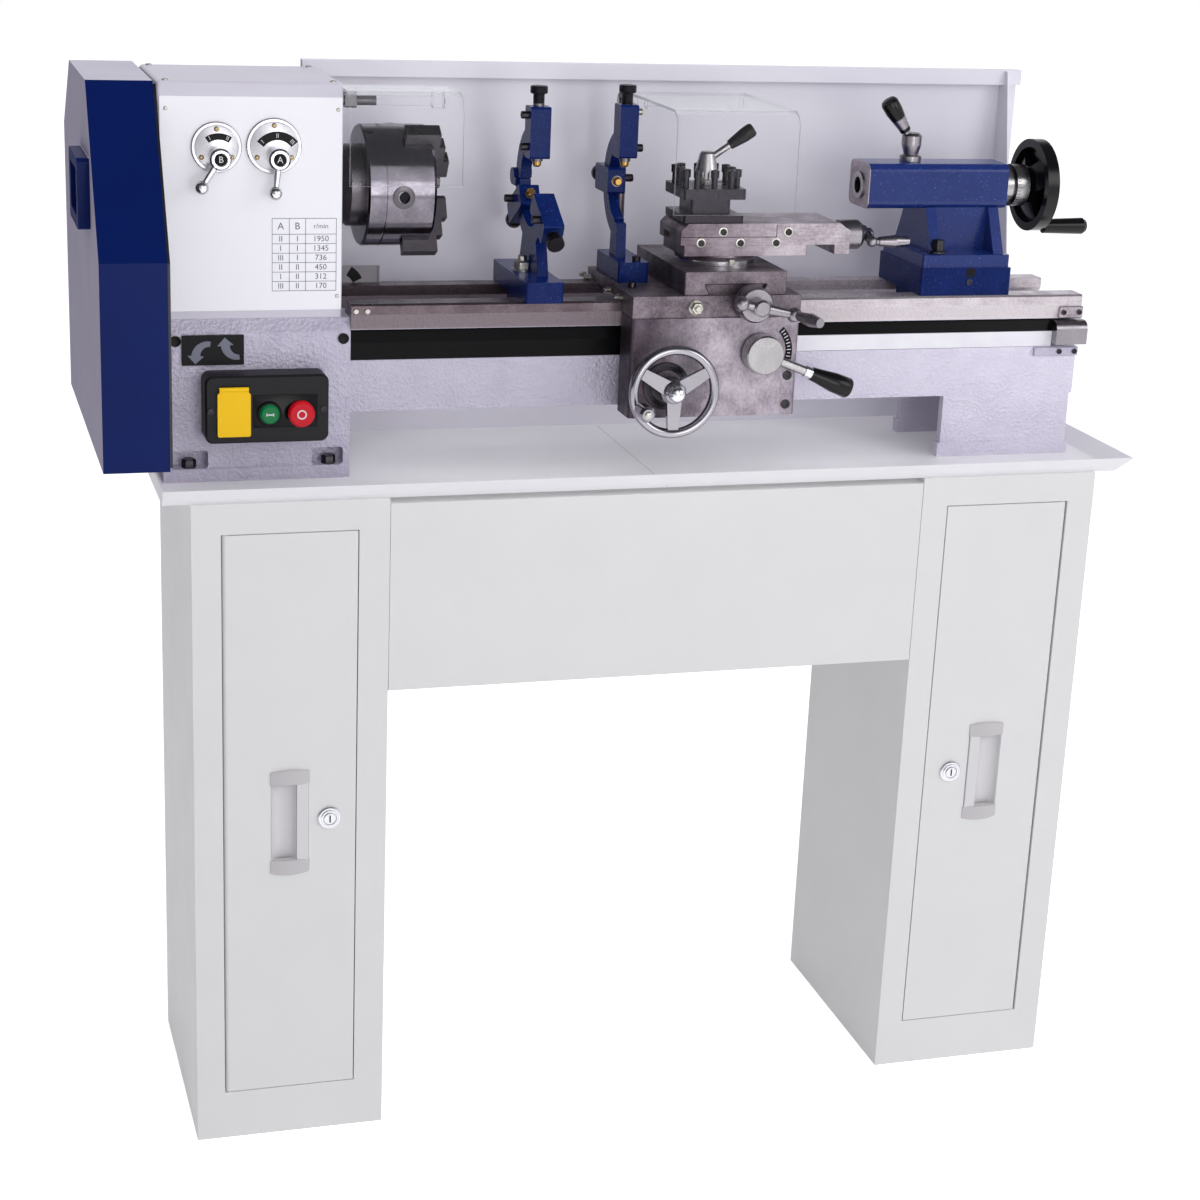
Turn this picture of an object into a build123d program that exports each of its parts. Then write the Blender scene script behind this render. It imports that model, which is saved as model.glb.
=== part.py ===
"""Bench lathe on a cabinet stand, in millimetres, with +Z up.

The origin is on the floor under the spindle axis, in the plane of the headstock's right face.
X runs from the headstock to the tailstock, and Y from the operator to the back.
"""
from build123d import *
import os
from math import acos, atan2, cos, degrees, hypot, radians, sin

os.makedirs("parts", exist_ok=True)

# Driving dimensions
deck = 721.0  # chip tray floor above the workshop floor
axis_z = deck + 296.0  # spindle axis
way_z = deck + 183.0  # top of the bed ways
way_y = 65.0  # half the width over both ways
bed_end = 838.0  # right end of the bed
half_depth = 141.0  # half the depth of the cabinets
sheet = 3.0  # folded sheet of the stand
head_left = -185.0  # left face of the headstock
head_front = -55.0  # front face of the headstock
head_back = 110.0  # back face of the headstock
chuck_radius = 62.5
chuck_back = 25.5  # back face of the chuck
chuck_face = 96.5  # front face of the chuck
screw_y = -50.5  # leadscrew axis, in the recess of the bed
screw_z = deck + 140.0
screw_radius = 8.0
gear_module = 3.0
running_gap = 0.06  # radial clearance of a shaft in its bore
clear = 0.4  # gap between pieces that pass each other
ball_turn = (70.0, 15.0, 0.0)  # turn of a ball, so that its seam lies off the arms
seam_side = (0.36, 0.48, 0.8)  # the side on which turned surfaces close, off every main plane


# Planes by the coordinate that they hold: across holds x, facing holds y and looks to the front
def across(x):
    return Plane.YZ.offset(x)


def facing(y):
    return Plane.XZ.offset(-y)


def level(z):
    return Plane.XY.offset(z)


def spun(origin, normal, first, angle):
    """A plane at origin whose first axis is first, turned by angle degrees about the normal."""
    return Plane(origin, x_dir=Vector(first).rotate(Axis((0, 0, 0), normal), angle), z_dir=normal)


def prism(plane, points, depth, mode=Mode.ADD):
    """A polygon on the plane, carried along its normal by depth."""
    with BuildSketch(plane) as outline:
        with BuildLine():
            Polyline(*points, close=True)
        make_face()
    extrude(outline.sketch, amount=depth, mode=mode)


def plate(plane, low, high, depth, corner=0.0, mode=Mode.ADD):
    """A rectangle between two corners of the plane, carried along its normal by depth."""
    width, height = high[0] - low[0], high[1] - low[1]
    with BuildSketch(plane) as outline:
        with Locations(((low[0] + high[0]) / 2, (low[1] + high[1]) / 2)):
            if corner > 0:
                RectangleRounded(width, height, corner)
            else:
                Rectangle(width, height)
    extrude(outline.sketch, amount=depth, mode=mode)


def disc(plane, centre, radius, depth, mode=Mode.ADD):
    """A circle on the plane, carried along its normal by depth."""
    with BuildSketch(plane) as outline:
        with Locations(centre):
            Circle(radius)
    extrude(outline.sketch, amount=depth, mode=mode)


def turned(start, direction, profile, mode=Mode.ADD):
    """A turned piece: the profile holds pairs of distance along the axis and radius."""
    along = Vector(direction).normalized()
    aside = Vector(*seam_side)
    half_plane = Plane(start, x_dir=along, z_dir=along.cross(aside).normalized())
    with BuildSketch(half_plane) as half:
        with BuildLine():
            Polyline((profile[0][0], 0), *profile, (profile[-1][0], 0), close=True)
        make_face()
    revolve(half.sketch, axis=Axis(start, along), mode=mode)


def ball(centre, radius):
    """A ball at centre."""
    with Locations(centre):
        Sphere(radius, rotation=ball_turn)


def write(builder, name):
    """Labels a finished piece and writes its file."""
    builder.part.label = name
    export_step(builder.part, f"parts/{name}.step")


# Cabinets of the stand: folded boxes with a door opening in the front
cabinet_top = deck - sheet
door_low, door_high = 56.0, 685.0
door_gap = 1.2
pivot_radius, pivot_inset = 2.5, 4.0  # pins at two corners of a leaf, on which it swings
flange_depth = 15.0  # edges folded in round the opening; those above and below hold the pins
pivot_reach = door_gap + sheet - 0.5
cabinets = {
    "left": dict(x=(-167.0, 36.0), door=(-136.0, 3.0), hinge=-1, pull=-67.0, lock=-25.0),
    "right": dict(x=(629.0, 836.0), door=(660.0, 804.0), hinge=1, pull=732.0, lock=691.0),
}
pull_half_width, pull_low, pull_high = 20.0, 312.0, 424.0
pull_depth = 11.0
lock_z = 370.0
lock_barrel = 9.5
leaf_depth = 18.0
leaf_skin = 2.0
for side, spec in cabinets.items():
    left, right = spec["x"]
    door_left, door_right = spec["door"]
    pivot_x = door_left + pivot_inset if spec["hinge"] < 0 else door_right - pivot_inset
    pivot_at = (pivot_x, -half_depth + pivot_inset)
    with BuildPart() as cabinet:
        plate(level(0), (left, -half_depth), (right, half_depth), cabinet_top)
        plate(
            level(sheet),
            (left + sheet, -half_depth + sheet),
            (right - sheet, half_depth - sheet),
            cabinet_top - 2 * sheet,
            mode=Mode.SUBTRACT,
        )
        plate(
            facing(-half_depth + sheet),
            (door_left - door_gap, door_low - door_gap),
            (door_right + door_gap, door_high + door_gap),
            sheet,
            mode=Mode.SUBTRACT,
        )
        flange_low, flange_high = door_low - door_gap - sheet, door_high + door_gap
        for edge in (door_left - door_gap - sheet, door_right + door_gap):
            plate(
                level(flange_low),
                (edge, -half_depth),
                (edge + sheet, -half_depth + flange_depth),
                flange_high + sheet - flange_low,
            )
        for low in (flange_low, flange_high):
            plate(
                level(low),
                (door_left - door_gap, -half_depth),
                (door_right + door_gap, -half_depth + flange_depth),
                sheet,
            )
            disc(level(low), pivot_at, pivot_radius + running_gap, sheet, mode=Mode.SUBTRACT)
    write(cabinet, f"{side}_cabinet")

    # Door leaf: a shallow pan with a recessed pull and a pivot pin at its top and bottom
    pull, lock_x = spec["pull"], spec["lock"]
    leaf_back = facing(-half_depth + leaf_depth)
    with BuildPart() as door:
        plate(leaf_back, (door_left, door_low), (door_right, door_high), leaf_depth)
        front_edges = door.edges().filter_by(Axis.Z).group_by(Axis.Y)[0].sort_by(Axis.X)
        fillet(front_edges[0] if spec["hinge"] < 0 else front_edges[-1], pivot_inset)
        plate(
            leaf_back,
            (door_left + leaf_skin, door_low + leaf_skin),
            (door_right - leaf_skin, door_high - leaf_skin),
            leaf_depth - leaf_skin,
            mode=Mode.SUBTRACT,
        )
        plate(
            facing(-half_depth + pull_depth + leaf_skin),
            (pull - pull_half_width - leaf_skin, pull_low - leaf_skin),
            (pull + pull_half_width + leaf_skin, pull_high + leaf_skin),
            pull_depth + leaf_skin,
        )
        plate(
            facing(-half_depth + pull_depth),
            (pull - pull_half_width, pull_low),
            (pull + pull_half_width, pull_high),
            pull_depth,
            mode=Mode.SUBTRACT,
        )
        disc(leaf_back, (lock_x, lock_z), lock_barrel + running_gap, leaf_depth, mode=Mode.SUBTRACT)
        for low in (door_low - pivot_reach, door_high - 1):
            disc(level(low), pivot_at, pivot_radius, pivot_reach + 1)
    write(door, f"{side}_door")

    # Cam lock: a flanged barrel through the leaf with a tongue behind it
    flange, flange_radius = 3.0, 12.5
    barrel_length = leaf_depth + 3
    tongue_reach, tongue_half = 34.0, 7.0
    tongue_plane = facing(-half_depth + barrel_length + flange)
    with BuildPart() as lock:
        turned(
            (lock_x, -half_depth - flange, lock_z),
            (0, 1, 0),
            [
                (0, flange_radius - 1),
                (1, flange_radius),
                (flange, flange_radius),
                (flange, lock_barrel),
                (flange + barrel_length, lock_barrel),
            ],
        )
        plate(
            tongue_plane,
            (lock_x - tongue_half, lock_z - tongue_reach),
            (lock_x + tongue_half, lock_z + tongue_half),
            flange,
        )
    write(lock, f"{side}_lock")

# Front panel between the cabinets: a folded channel
panel_low, panel_high = 509.0, cabinet_top - 5.5
panel_lip = 25.0
panel_seam = 0.7  # open joint at each end of its face
panel_left = cabinets["left"]["x"][1]
panel_right = cabinets["right"]["x"][0]
with BuildPart() as panel:
    outer = -half_depth
    inner = -half_depth + sheet
    prism(
        across(panel_left),
        [
            (outer, panel_low),
            (outer + panel_lip, panel_low),
            (outer + panel_lip, panel_low + sheet),
            (inner, panel_low + sheet),
            (inner, panel_high - sheet),
            (outer + panel_lip, panel_high - sheet),
            (outer + panel_lip, panel_high),
            (outer, panel_high),
        ],
        panel_right - panel_left,
    )
    for edge in (panel_left, panel_right - panel_seam):
        plate(
            facing(inner),
            (edge, panel_low - 1),
            (edge + panel_seam, panel_high + 1),
            sheet,
            mode=Mode.SUBTRACT,
        )
write(panel, "front_panel")

# Chip tray: a pan with a rim that leans out at the front, back and right
tray_left, tray_right, tray_half = -195.0, 862.0, 137.0
rim_height, rim_lean_y, rim_lean_x = 14.0, 11.0, 16.0
rim_wall = 2.0


def tray_form(inset, low):
    """The tilted-wall form of the tray, drawn in by inset, from low to the rim's top."""
    for height, lean_x, lean_y in ((low, 0, 0), (deck + rim_height, rim_lean_x, rim_lean_y)):
        right = tray_right + lean_x - inset
        left = tray_left + inset
        half = tray_half + lean_y - inset
        with BuildSketch(level(height)) as outline:
            with Locations(((left + right) / 2, 0)):
                Rectangle(right - left, 2 * half)
        yield outline.sketch


with BuildPart() as tray:
    loft(list(tray_form(0, deck - sheet)), ruled=True)
    loft(list(tray_form(rim_wall, deck)), ruled=True, mode=Mode.SUBTRACT)
write(tray, "chip_tray")

# Splash guard: a folded sheet that stands on the back of the tray, with a lip and a wing near its right end
guard_left, guard_right = -12.0, 829.0
guard_top = deck + 411.0
guard_y = 132.0
guard_sheet = 1.5
lip_height, lip_depth = 17.0, 12.0
wing_x, wing_depth = 808.0, 62.0
with BuildPart() as splash:
    prism(
        across(guard_left),
        [
            (guard_y, deck),
            (guard_y, guard_top - guard_sheet),
            (guard_y - lip_depth + guard_sheet, guard_top - guard_sheet),
            (guard_y - lip_depth + guard_sheet, guard_top - lip_height),
            (guard_y - lip_depth, guard_top - lip_height),
            (guard_y - lip_depth, guard_top),
            (guard_y + guard_sheet, guard_top),
            (guard_y + guard_sheet, deck),
        ],
        guard_right - guard_left,
    )
    prism(
        across(wing_x),
        [
            (guard_y, deck + 120),
            (guard_y, guard_top - guard_sheet),
            (guard_y - wing_depth * 0.3, guard_top - guard_sheet),
            (guard_y - wing_depth, deck + 180),
            (guard_y - wing_depth, deck + 120),
        ],
        guard_sheet,
    )
write(splash, "splash_guard")

# Bed: two walls with flat ways, cross ribs, a recess for the leadscrew and a hollow right foot
bed_start = 8.0  # where the bed meets the headstock base
wall = 10.0
way_drop = 11.0  # height of the ground way face
way_inner = 38.0  # inner edge of each way
wall_face = 62.0  # outer face of each wall
wall_low = deck + 70.0
recess_low, recess_high = deck + 124.0, deck + 156.0
recess_back = 40.0
foot_left = 677.0
foot_flange = 16.0
foot_half = 63.0
rib_places = (150.0, 330.0, 510.0)
chamfer_way = 2.0
with BuildPart() as bed:
    front_wall = [
        (-way_y + chamfer_way, way_z),
        (-way_y, way_z - chamfer_way),
        (-way_y, way_z - way_drop),
        (-wall_face, recess_high + 3),
        (-wall_face, recess_high),
        (-recess_back, recess_high),
        (-recess_back, recess_low),
        (-wall_face, recess_low),
        (-wall_face, wall_low),
        (-wall_face + wall, wall_low),
        (-wall_face + wall, recess_low - wall),
        (-recess_back + wall, recess_low - wall),
        (-recess_back + wall, way_z - way_drop),
        (-way_inner, way_z - way_drop + 4),
        (-way_inner, way_z),
    ]
    prism(across(bed_start), front_wall, bed_end - bed_start)
    back_wall = [
        (way_inner, way_z),
        (way_y - chamfer_way, way_z),
        (way_y, way_z - chamfer_way),
        (way_y, way_z - way_drop),
        (wall_face, recess_high),
        (wall_face, wall_low),
        (wall_face - wall, wall_low),
        (wall_face - wall, recess_high),
        (way_inner, way_z - way_drop),
    ]
    prism(across(bed_start), back_wall, bed_end - bed_start)
    for place in rib_places:
        rib = [
            (-wall_face + 1, wall_low),
            (-wall_face + 1, recess_low - wall),
            (-recess_back + 1, recess_low - wall),
            (-recess_back + 1, way_z - 24),
            (wall_face - 1, way_z - 24),
            (wall_face - 1, wall_low),
        ]
        prism(across(place), rib, wall)
    end_low = deck + foot_flange
    plate(level(end_low), (foot_left + 3, -wall_face), (bed_end - 3, wall_face), wall_low - end_low)
    plate(level(end_low), (bed_end - wall - 3, -wall_face), (bed_end - 3, wall_face), way_z - 20 - end_low)
    plate(level(deck), (foot_left, -foot_half), (bed_end, foot_half), foot_flange)
    plate(
        level(deck),
        (foot_left - 1, -wall_face + wall),
        (bed_end - wall - 3, wall_face - wall),
        way_z - 30 - deck,
        mode=Mode.SUBTRACT,
    )
    plate(
        facing(-recess_back),
        (bed_end - 2 * wall, recess_low),
        (bed_end + 1, recess_high),
        wall_face - recess_back + 1,
        mode=Mode.SUBTRACT,
    )
write(bed, "bed")

# Headstock base: the left foot casting, with bolt pockets and a sloped shoulder
base_left, base_right = head_left, 8.0
base_front, base_back = -62.0, 114.0
base_top = deck + 168.5
shoulder = deck + 155.0
flange_height = 14.0
flange_out = 1.5
pockets = ((-176.0, -139.0), (-32.0, 1.0))
pocket_top = deck + 33.0
pocket_depth = 16.0
with BuildPart() as base:
    prism(
        across(base_left),
        [
            (base_front, deck),
            (base_front, shoulder),
            (head_front - 1, base_top),
            (head_back + 1, base_top),
            (base_back, shoulder),
            (base_back, deck),
        ],
        base_right - base_left,
    )
    plate(
        level(deck),
        (base_left, base_front - flange_out),
        (base_right - 6, base_back + flange_out),
        flange_height,
    )
    for pocket_left, pocket_right in pockets:
        plate(
            facing(base_front + pocket_depth),
            (pocket_left, deck + flange_height),
            (pocket_right, pocket_top),
            2 * pocket_depth,
            corner=4,
            mode=Mode.SUBTRACT,
        )
    disc(
        across(base_left - 1),
        (screw_y, screw_z),
        screw_radius + running_gap,
        base_right - base_left + 2,
        mode=Mode.SUBTRACT,
    )
write(base, "headstock_base")

# Change gears from the spindle to the leadscrew: places of the wheels and the turn of their teeth
gear_width = 10.0
gear_x = head_left - 18.0  # left face of the change gears
spindle_teeth, idler_teeth, screw_teeth = 20, 30, 40
bull_teeth, pinion_teeth = 28, 22
tip_height, root_depth = 0.8 * gear_module, 1.15 * gear_module
stud_radius = 7.0


def pitch_radius(teeth):
    return gear_module * teeth / 2


def bearing(start, end):
    """The angle in degrees from one axis to another, both given as (y, z)."""
    return degrees(atan2(end[1] - start[1], end[0] - start[0]))


spindle_at = (0.0, axis_z)
screw_at = (screw_y, screw_z)
first = pitch_radius(spindle_teeth) + pitch_radius(idler_teeth)
second = pitch_radius(idler_teeth) + pitch_radius(screw_teeth)
span = hypot(screw_y, screw_z - axis_z)
corner_angle = degrees(acos((first**2 + span**2 - second**2) / (2 * first * span)))
idler_bearing = bearing(spindle_at, screw_at) - corner_angle
idler_at = (
    first * cos(radians(idler_bearing)),
    axis_z + first * sin(radians(idler_bearing)),
)
idler_turn = idler_bearing + 180 + 180 / idler_teeth
screw_bearing = bearing(idler_at, screw_at)
idler_pitch = 360 / idler_teeth
idler_offset = (screw_bearing - idler_turn) % idler_pitch
screw_turn = screw_bearing + 180 + idler_offset * idler_teeth / screw_teeth + 180 / screw_teeth


def gear(x, centre, teeth, turn):
    """A spur gear with straight-sided teeth, one of them centred at the angle turn."""
    tip = pitch_radius(teeth) + tip_height
    root = pitch_radius(teeth) - root_depth
    points = []
    for tooth in range(teeth):
        for step, radius in ((-0.34, root), (-0.12, tip), (0.12, tip), (0.34, root)):
            angle = radians(turn + (tooth + step) * 360 / teeth)
            points.append((centre[0] + radius * cos(angle), centre[1] + radius * sin(angle)))
    prism(across(x), points, gear_width)


# Headstock housing: an open-topped gear case with bores for the spindle and the input shaft
case_top = deck + 391.5
case_wall = 8.0
spindle_radius = 20.0
input_y, input_z = 45.0, axis_z - 60.0
input_radius = 9.0
lever_shaft = 6.0
pivot_at = (-8.0, deck + 383.0)  # swing axis of the chuck guard
pivot_radius = 5.0
levers = {
    "lever_a": dict(hub=(-67.0, deck + 331.0), ball=(-71.5, deck + 298.0)),
    "lever_b": dict(hub=(-125.5, deck + 331.0), ball=(-144.5, deck + 303.5)),
}
with BuildPart() as housing:
    plate(level(base_top), (head_left, head_front), (0, head_back), case_top - base_top, corner=3)
    plate(
        level(base_top + case_wall),
        (head_left + case_wall, head_front + case_wall),
        (-case_wall, head_back - case_wall),
        case_top - base_top,
        corner=8,
        mode=Mode.SUBTRACT,
    )
    disc(
        across(head_left - 1),
        (0, axis_z),
        spindle_radius + running_gap,
        -head_left + 2,
        mode=Mode.SUBTRACT,
    )
    disc(
        across(head_left - 1),
        (input_y, input_z),
        input_radius + running_gap,
        -head_left - case_wall + 6,
        mode=Mode.SUBTRACT,
    )
    disc(across(head_left), idler_at, stud_radius, gear_x - 2 - head_left)
    disc(
        across(-case_wall - 1), pivot_at, pivot_radius + running_gap, case_wall + 2, mode=Mode.SUBTRACT
    )
    for lever in levers.values():
        disc(
            facing(head_front + case_wall + 1),
            lever["hub"],
            lever_shaft + running_gap,
            case_wall + 2,
            mode=Mode.SUBTRACT,
        )
write(housing, "headstock_housing")

# Headstock cover: a lid with rounded edges and a tongue that drops into the case
cover_top = deck + 405.0
with BuildPart() as cover:
    plate(level(case_top), (head_left, head_front), (0, head_back), cover_top - case_top, corner=3)
    fillet(cover.faces().sort_by(Axis.Z)[-1].edges(), 4)
    plate(
        level(case_top - 6),
        (head_left + case_wall + 1, head_front + case_wall + 1),
        (-case_wall - 1, head_back - case_wall - 1),
        6,
        corner=7,
    )
write(cover, "headstock_cover")

# Switch box on the base, with two buttons and a hinged flap
box_left, box_right = -145.5, -19.5
box_low, box_high = deck + 47.0, deck + 117.0
box_depth = 30.0
box_face = base_front - box_depth
buttons = {
    "start_button": dict(at=(-81.0, deck + 78.0), stem=8.0, cap=10.0, cap_depth=4.0),
    "stop_button": dict(at=(-49.0, deck + 78.0), stem=8.0, cap=13.5, cap_depth=7.0),
}
button_travel = 4.0
flap_left, flap_right = -133.5, -100.0
flap_low, flap_high = deck + 55.0, deck + 101.0
flap_thick = 4.0
flap_pin = 2.5
flap_axis = (box_face - flap_pin - clear, flap_high + flap_pin)
with BuildPart() as switch_box:
    plate(facing(base_front), (box_left, box_low), (box_right, box_high), box_depth, corner=8)
    chamfer(switch_box.faces().sort_by(Axis.Y)[0].edges(), 2)
    for button in buttons.values():
        disc(
            facing(box_face + 14),
            button["at"],
            button["stem"] + running_gap,
            16,
            mode=Mode.SUBTRACT,
        )
write(switch_box, "switch_box")

for name, button in buttons.items():
    with BuildPart() as push:
        x, z = button["at"]
        cap_start = box_face - button_travel - clear - button["cap_depth"]
        stem_start = button["cap_depth"]
        turned(
            (x, cap_start, z),
            (0, 1, 0),
            [
                (0, button["cap"] - 2),
                (2, button["cap"]),
                (stem_start, button["cap"]),
                (stem_start, button["stem"]),
                (stem_start + 13, button["stem"]),
            ],
        )
    write(push, name)

with BuildPart() as flap:
    plate(
        facing(box_face - clear),
        (flap_left, flap_low),
        (flap_right, flap_high - 1),
        flap_thick,
        corner=2,
    )
    turned(
        (flap_left + 2, flap_axis[0], flap_axis[1]),
        (1, 0, 0),
        [(0, flap_pin), (flap_right - flap_left - 4, flap_pin)],
    )
    plate(
        facing(flap_axis[0] + 1),
        (flap_left + 2, flap_high - 3),
        (flap_right - 2, flap_axis[1]),
        flap_pin,
    )
write(flap, "switch_flap")

# Range levers: a knurled hub on a shaft, with a bent arm and a ball
hub_radius, hub_length = 11.0, 20.0
arm_radius, ball_radius = 2.9, 7.0
arm_lean = 7.0  # the arm leans to the front
for name, lever in levers.items():
    hub_x, hub_z = lever["hub"]
    ball_x, ball_z = lever["ball"]
    hub_front = head_front - 1 - hub_length
    with BuildPart() as shift:
        turned(
            (hub_x, hub_front, hub_z),
            (0, 1, 0),
            [
                (0, hub_radius - 2),
                (2, hub_radius),
                (hub_length, hub_radius),
                (hub_length, lever_shaft),
                (hub_length + case_wall + 12, lever_shaft),
            ],
        )
        reach = hypot(ball_x - hub_x, ball_z - hub_z)
        arm_y = hub_front + 8.3
        turned(
            (hub_x, arm_y, hub_z),
            (ball_x - hub_x, -arm_lean, ball_z - hub_z),
            [(0, arm_radius + 1.4), (reach, arm_radius)],
        )
        ball((ball_x, arm_y - arm_lean, ball_z), ball_radius)
    write(shift, name)

# Spindle: a hollow shaft with the first change gear, the bull gear and the nose flange
spindle_end = gear_x - 8.0
bore_radius = 10.0
bull_x = -110.0
nose_radius = 42.0
with BuildPart() as spindle:
    turned(
        (spindle_end, 0, axis_z),
        (1, 0, 0),
        [
            (0, 14.0),
            (-spindle_end + head_left - 3, 14.0),
            (-spindle_end + head_left - 3, spindle_radius),
            (-spindle_end + 3, spindle_radius),
            (-spindle_end + 3, 34.0),
            (-spindle_end + 12, nose_radius),
            (-spindle_end + chuck_back, nose_radius),
        ],
    )
    gear(gear_x, spindle_at, spindle_teeth, idler_bearing)
    gear(bull_x, spindle_at, bull_teeth, bearing(spindle_at, (input_y, input_z)))
    disc(across(spindle_end - 1), spindle_at, bore_radius, chuck_back - spindle_end + 2, mode=Mode.SUBTRACT)
write(spindle, "spindle")

# Chuck body: a drum with a stepped rim, three jaw slots and three key sockets
slot_half = 8.0
slot_depth = 30.0
slot_inner = 4.0
chuck_bore = 15.0
key_radius = 6.0
groove_x = 44.0
jaw_angles = (124.0, 244.0, 4.0)
with BuildPart() as chuck:
    length = chuck_face - chuck_back
    turned(
        (chuck_back, 0, axis_z),
        (1, 0, 0),
        [
            (0, chuck_radius - 2),
            (2, chuck_radius),
            (groove_x - chuck_back - 1, chuck_radius),
            (groove_x - chuck_back - 1, chuck_radius - 1.5),
            (groove_x - chuck_back + 1, chuck_radius - 1.5),
            (groove_x - chuck_back + 1, chuck_radius),
            (length - 3, chuck_radius),
            (length, chuck_radius - 3),
        ],
    )
    disc(across(chuck_back - 1), spindle_at, chuck_bore, length + 2, mode=Mode.SUBTRACT)
    for angle in jaw_angles:
        plate(
            spun((chuck_face - slot_depth, 0, axis_z), (1, 0, 0), (0, 1, 0), angle),
            (slot_inner, -slot_half),
            (chuck_radius + 2, slot_half),
            slot_depth + 1,
            mode=Mode.SUBTRACT,
        )
        socket = radians(angle + 60)
        turned(
            (63.0, chuck_radius * cos(socket), axis_z + chuck_radius * sin(socket)),
            (0, -cos(socket), -sin(socket)),
            [(-5, key_radius), (18, key_radius)],
            mode=Mode.SUBTRACT,
        )
write(chuck, "chuck_body")

# Chuck jaws: stepped blocks that slide in the slots, opened past the rim
jaw_inner, jaw_outer = 13.0, 74.0
jaw_second, jaw_third = 38.0, 57.0
jaw_rise = 6.5
for number, angle in enumerate(jaw_angles, start=1):
    outward = (0, cos(radians(angle)), sin(radians(angle)))
    sideways = (0, -sin(radians(angle)), cos(radians(angle)))
    jaw_plane = Plane((0, 0, axis_z), x_dir=outward, z_dir=sideways).offset(-slot_half + clear)
    # On this plane the second axis points along -X, towards the headstock
    floor = -(chuck_face - slot_depth + clear)
    face = -chuck_face
    with BuildPart() as jaw:
        prism(
            jaw_plane,
            [
                (jaw_inner, floor),
                (jaw_inner, face - 3 * jaw_rise),
                (jaw_second, face - 3 * jaw_rise),
                (jaw_second, face - 2 * jaw_rise),
                (jaw_third, face - 2 * jaw_rise),
                (jaw_third, face - jaw_rise),
                (jaw_outer, face - jaw_rise),
                (jaw_outer, floor),
            ],
            2 * (slot_half - clear),
        )
        # The tip is bevelled to a narrow pad
        for flank in (-1, 1):
            prism(
                Plane((chuck_face - slot_depth, 0, axis_z), x_dir=outward, z_dir=(1, 0, 0)),
                [
                    (jaw_inner - 1, flank * 2.5),
                    (jaw_inner + 6, flank * (slot_half + 1)),
                    (jaw_inner - 1, flank * (slot_half + 1)),
                ],
                slot_depth + 4 * jaw_rise,
                mode=Mode.SUBTRACT,
            )
    write(jaw, f"chuck_jaw_{number}")

# Idler gear on its stud, and the leadscrew with its gear
hub_wall = 5.0
with BuildPart() as idler:
    gear(gear_x, idler_at, idler_teeth, idler_turn)
    disc(across(gear_x - 3), idler_at, stud_radius + hub_wall, gear_width + 6)
    disc(across(gear_x - 4), idler_at, stud_radius + running_gap, gear_width + 8, mode=Mode.SUBTRACT)
    with Locations(Plane((gear_x - 1, *idler_at), x_dir=(0, 1, 0), z_dir=(1, 0, 0))):
        with PolarLocations(26, 5):
            Cylinder(7, 4 * gear_width, mode=Mode.SUBTRACT)
write(idler, "idler_gear")

screw_right = bed_end + 2.0
with BuildPart() as leadscrew:
    disc(across(spindle_end), screw_at, screw_radius, screw_right - spindle_end)
    gear(gear_x, screw_at, screw_teeth, screw_turn)
    with Locations(Plane((gear_x - 1, *screw_at), x_dir=(0, 1, 0), z_dir=(1, 0, 0))):
        with PolarLocations(36, 6):
            Cylinder(10, 4 * gear_width, mode=Mode.SUBTRACT)
    disc(across(gear_x - 3), screw_at, screw_radius + hub_wall, gear_width + 5)
write(leadscrew, "leadscrew")

# Leadscrew cover: a folded strip in the mouth of the recess, and the bearing at the right end
cover_right = 806.0
cover_low, cover_fold = deck + 124.5, deck + 142.0
cover_slope = 5.5  # how far the upper part of the strip leans back
cover_sheet = 1.5
with BuildPart() as strip:
    prism(
        across(bed_start),
        [
            (-wall_face, cover_low),
            (-wall_face, cover_fold),
            (-wall_face + cover_slope, recess_high),
            (-recess_back, recess_high),
            (-recess_back, recess_high - cover_sheet),
            (-wall_face + cover_slope + 1, recess_high - cover_sheet),
            (-wall_face + cover_sheet, cover_fold - 0.3),
            (-wall_face + cover_sheet, cover_low),
        ],
        cover_right - bed_start,
    )
write(strip, "leadscrew_cover")

bracket_right = bed_end + 6.0
bracket_front = -74.0
bracket_low, bracket_high = deck + 128.0, deck + 154.0
with BuildPart() as bracket:
    plate(
        across(cover_right),
        (bracket_front, bracket_low),
        (-recess_back, bracket_high),
        bracket_right - cover_right,
    )
    fillet(bracket.edges().filter_by(Axis.X).group_by(Axis.Y)[0].sort_by(Axis.Z)[-1], 10)
    disc(
        across(cover_right - 1),
        screw_at,
        screw_radius + running_gap,
        bracket_right - cover_right + 2,
        mode=Mode.SUBTRACT,
    )
write(bracket, "leadscrew_bracket")

# Motor behind the base: a finned drum with end bells, a terminal box and a foot
motor_at = (173.0, deck + 110.0)
motor_left, motor_right = -178.0, -30.0
motor_radius = 50.0
shaft_radius = 7.0
fin_count, fin_height = 14, 5.0
with BuildPart() as motor:
    span_x = motor_right - motor_left
    turned(
        (motor_left, *motor_at),
        (1, 0, 0),
        [
            (0, motor_radius - 8),
            (6, motor_radius + 3),
            (24, motor_radius + 3),
            (24, motor_radius),
            (span_x - 34, motor_radius),
            (span_x - 34, motor_radius + 3),
            (span_x - 8, motor_radius + 3),
            (span_x, motor_radius - 6),
        ],
    )
    with Locations(Plane((motor_left + span_x / 2 - 5, *motor_at), x_dir=(0, 1, 0), z_dir=(1, 0, 0))):
        with PolarLocations(motor_radius, fin_count):
            Box(2 * fin_height, 3, span_x - 58)
    plate(level(motor_at[1] - 40), (-150, base_back), (-60, motor_at[0] - 20), 80)
    plate(level(motor_at[1] + 30), (-140, 145), (-70, 200), 38, corner=5)
    disc(across(motor_left - 1), motor_at, shaft_radius + running_gap, 40, mode=Mode.SUBTRACT)
write(motor, "motor")

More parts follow.
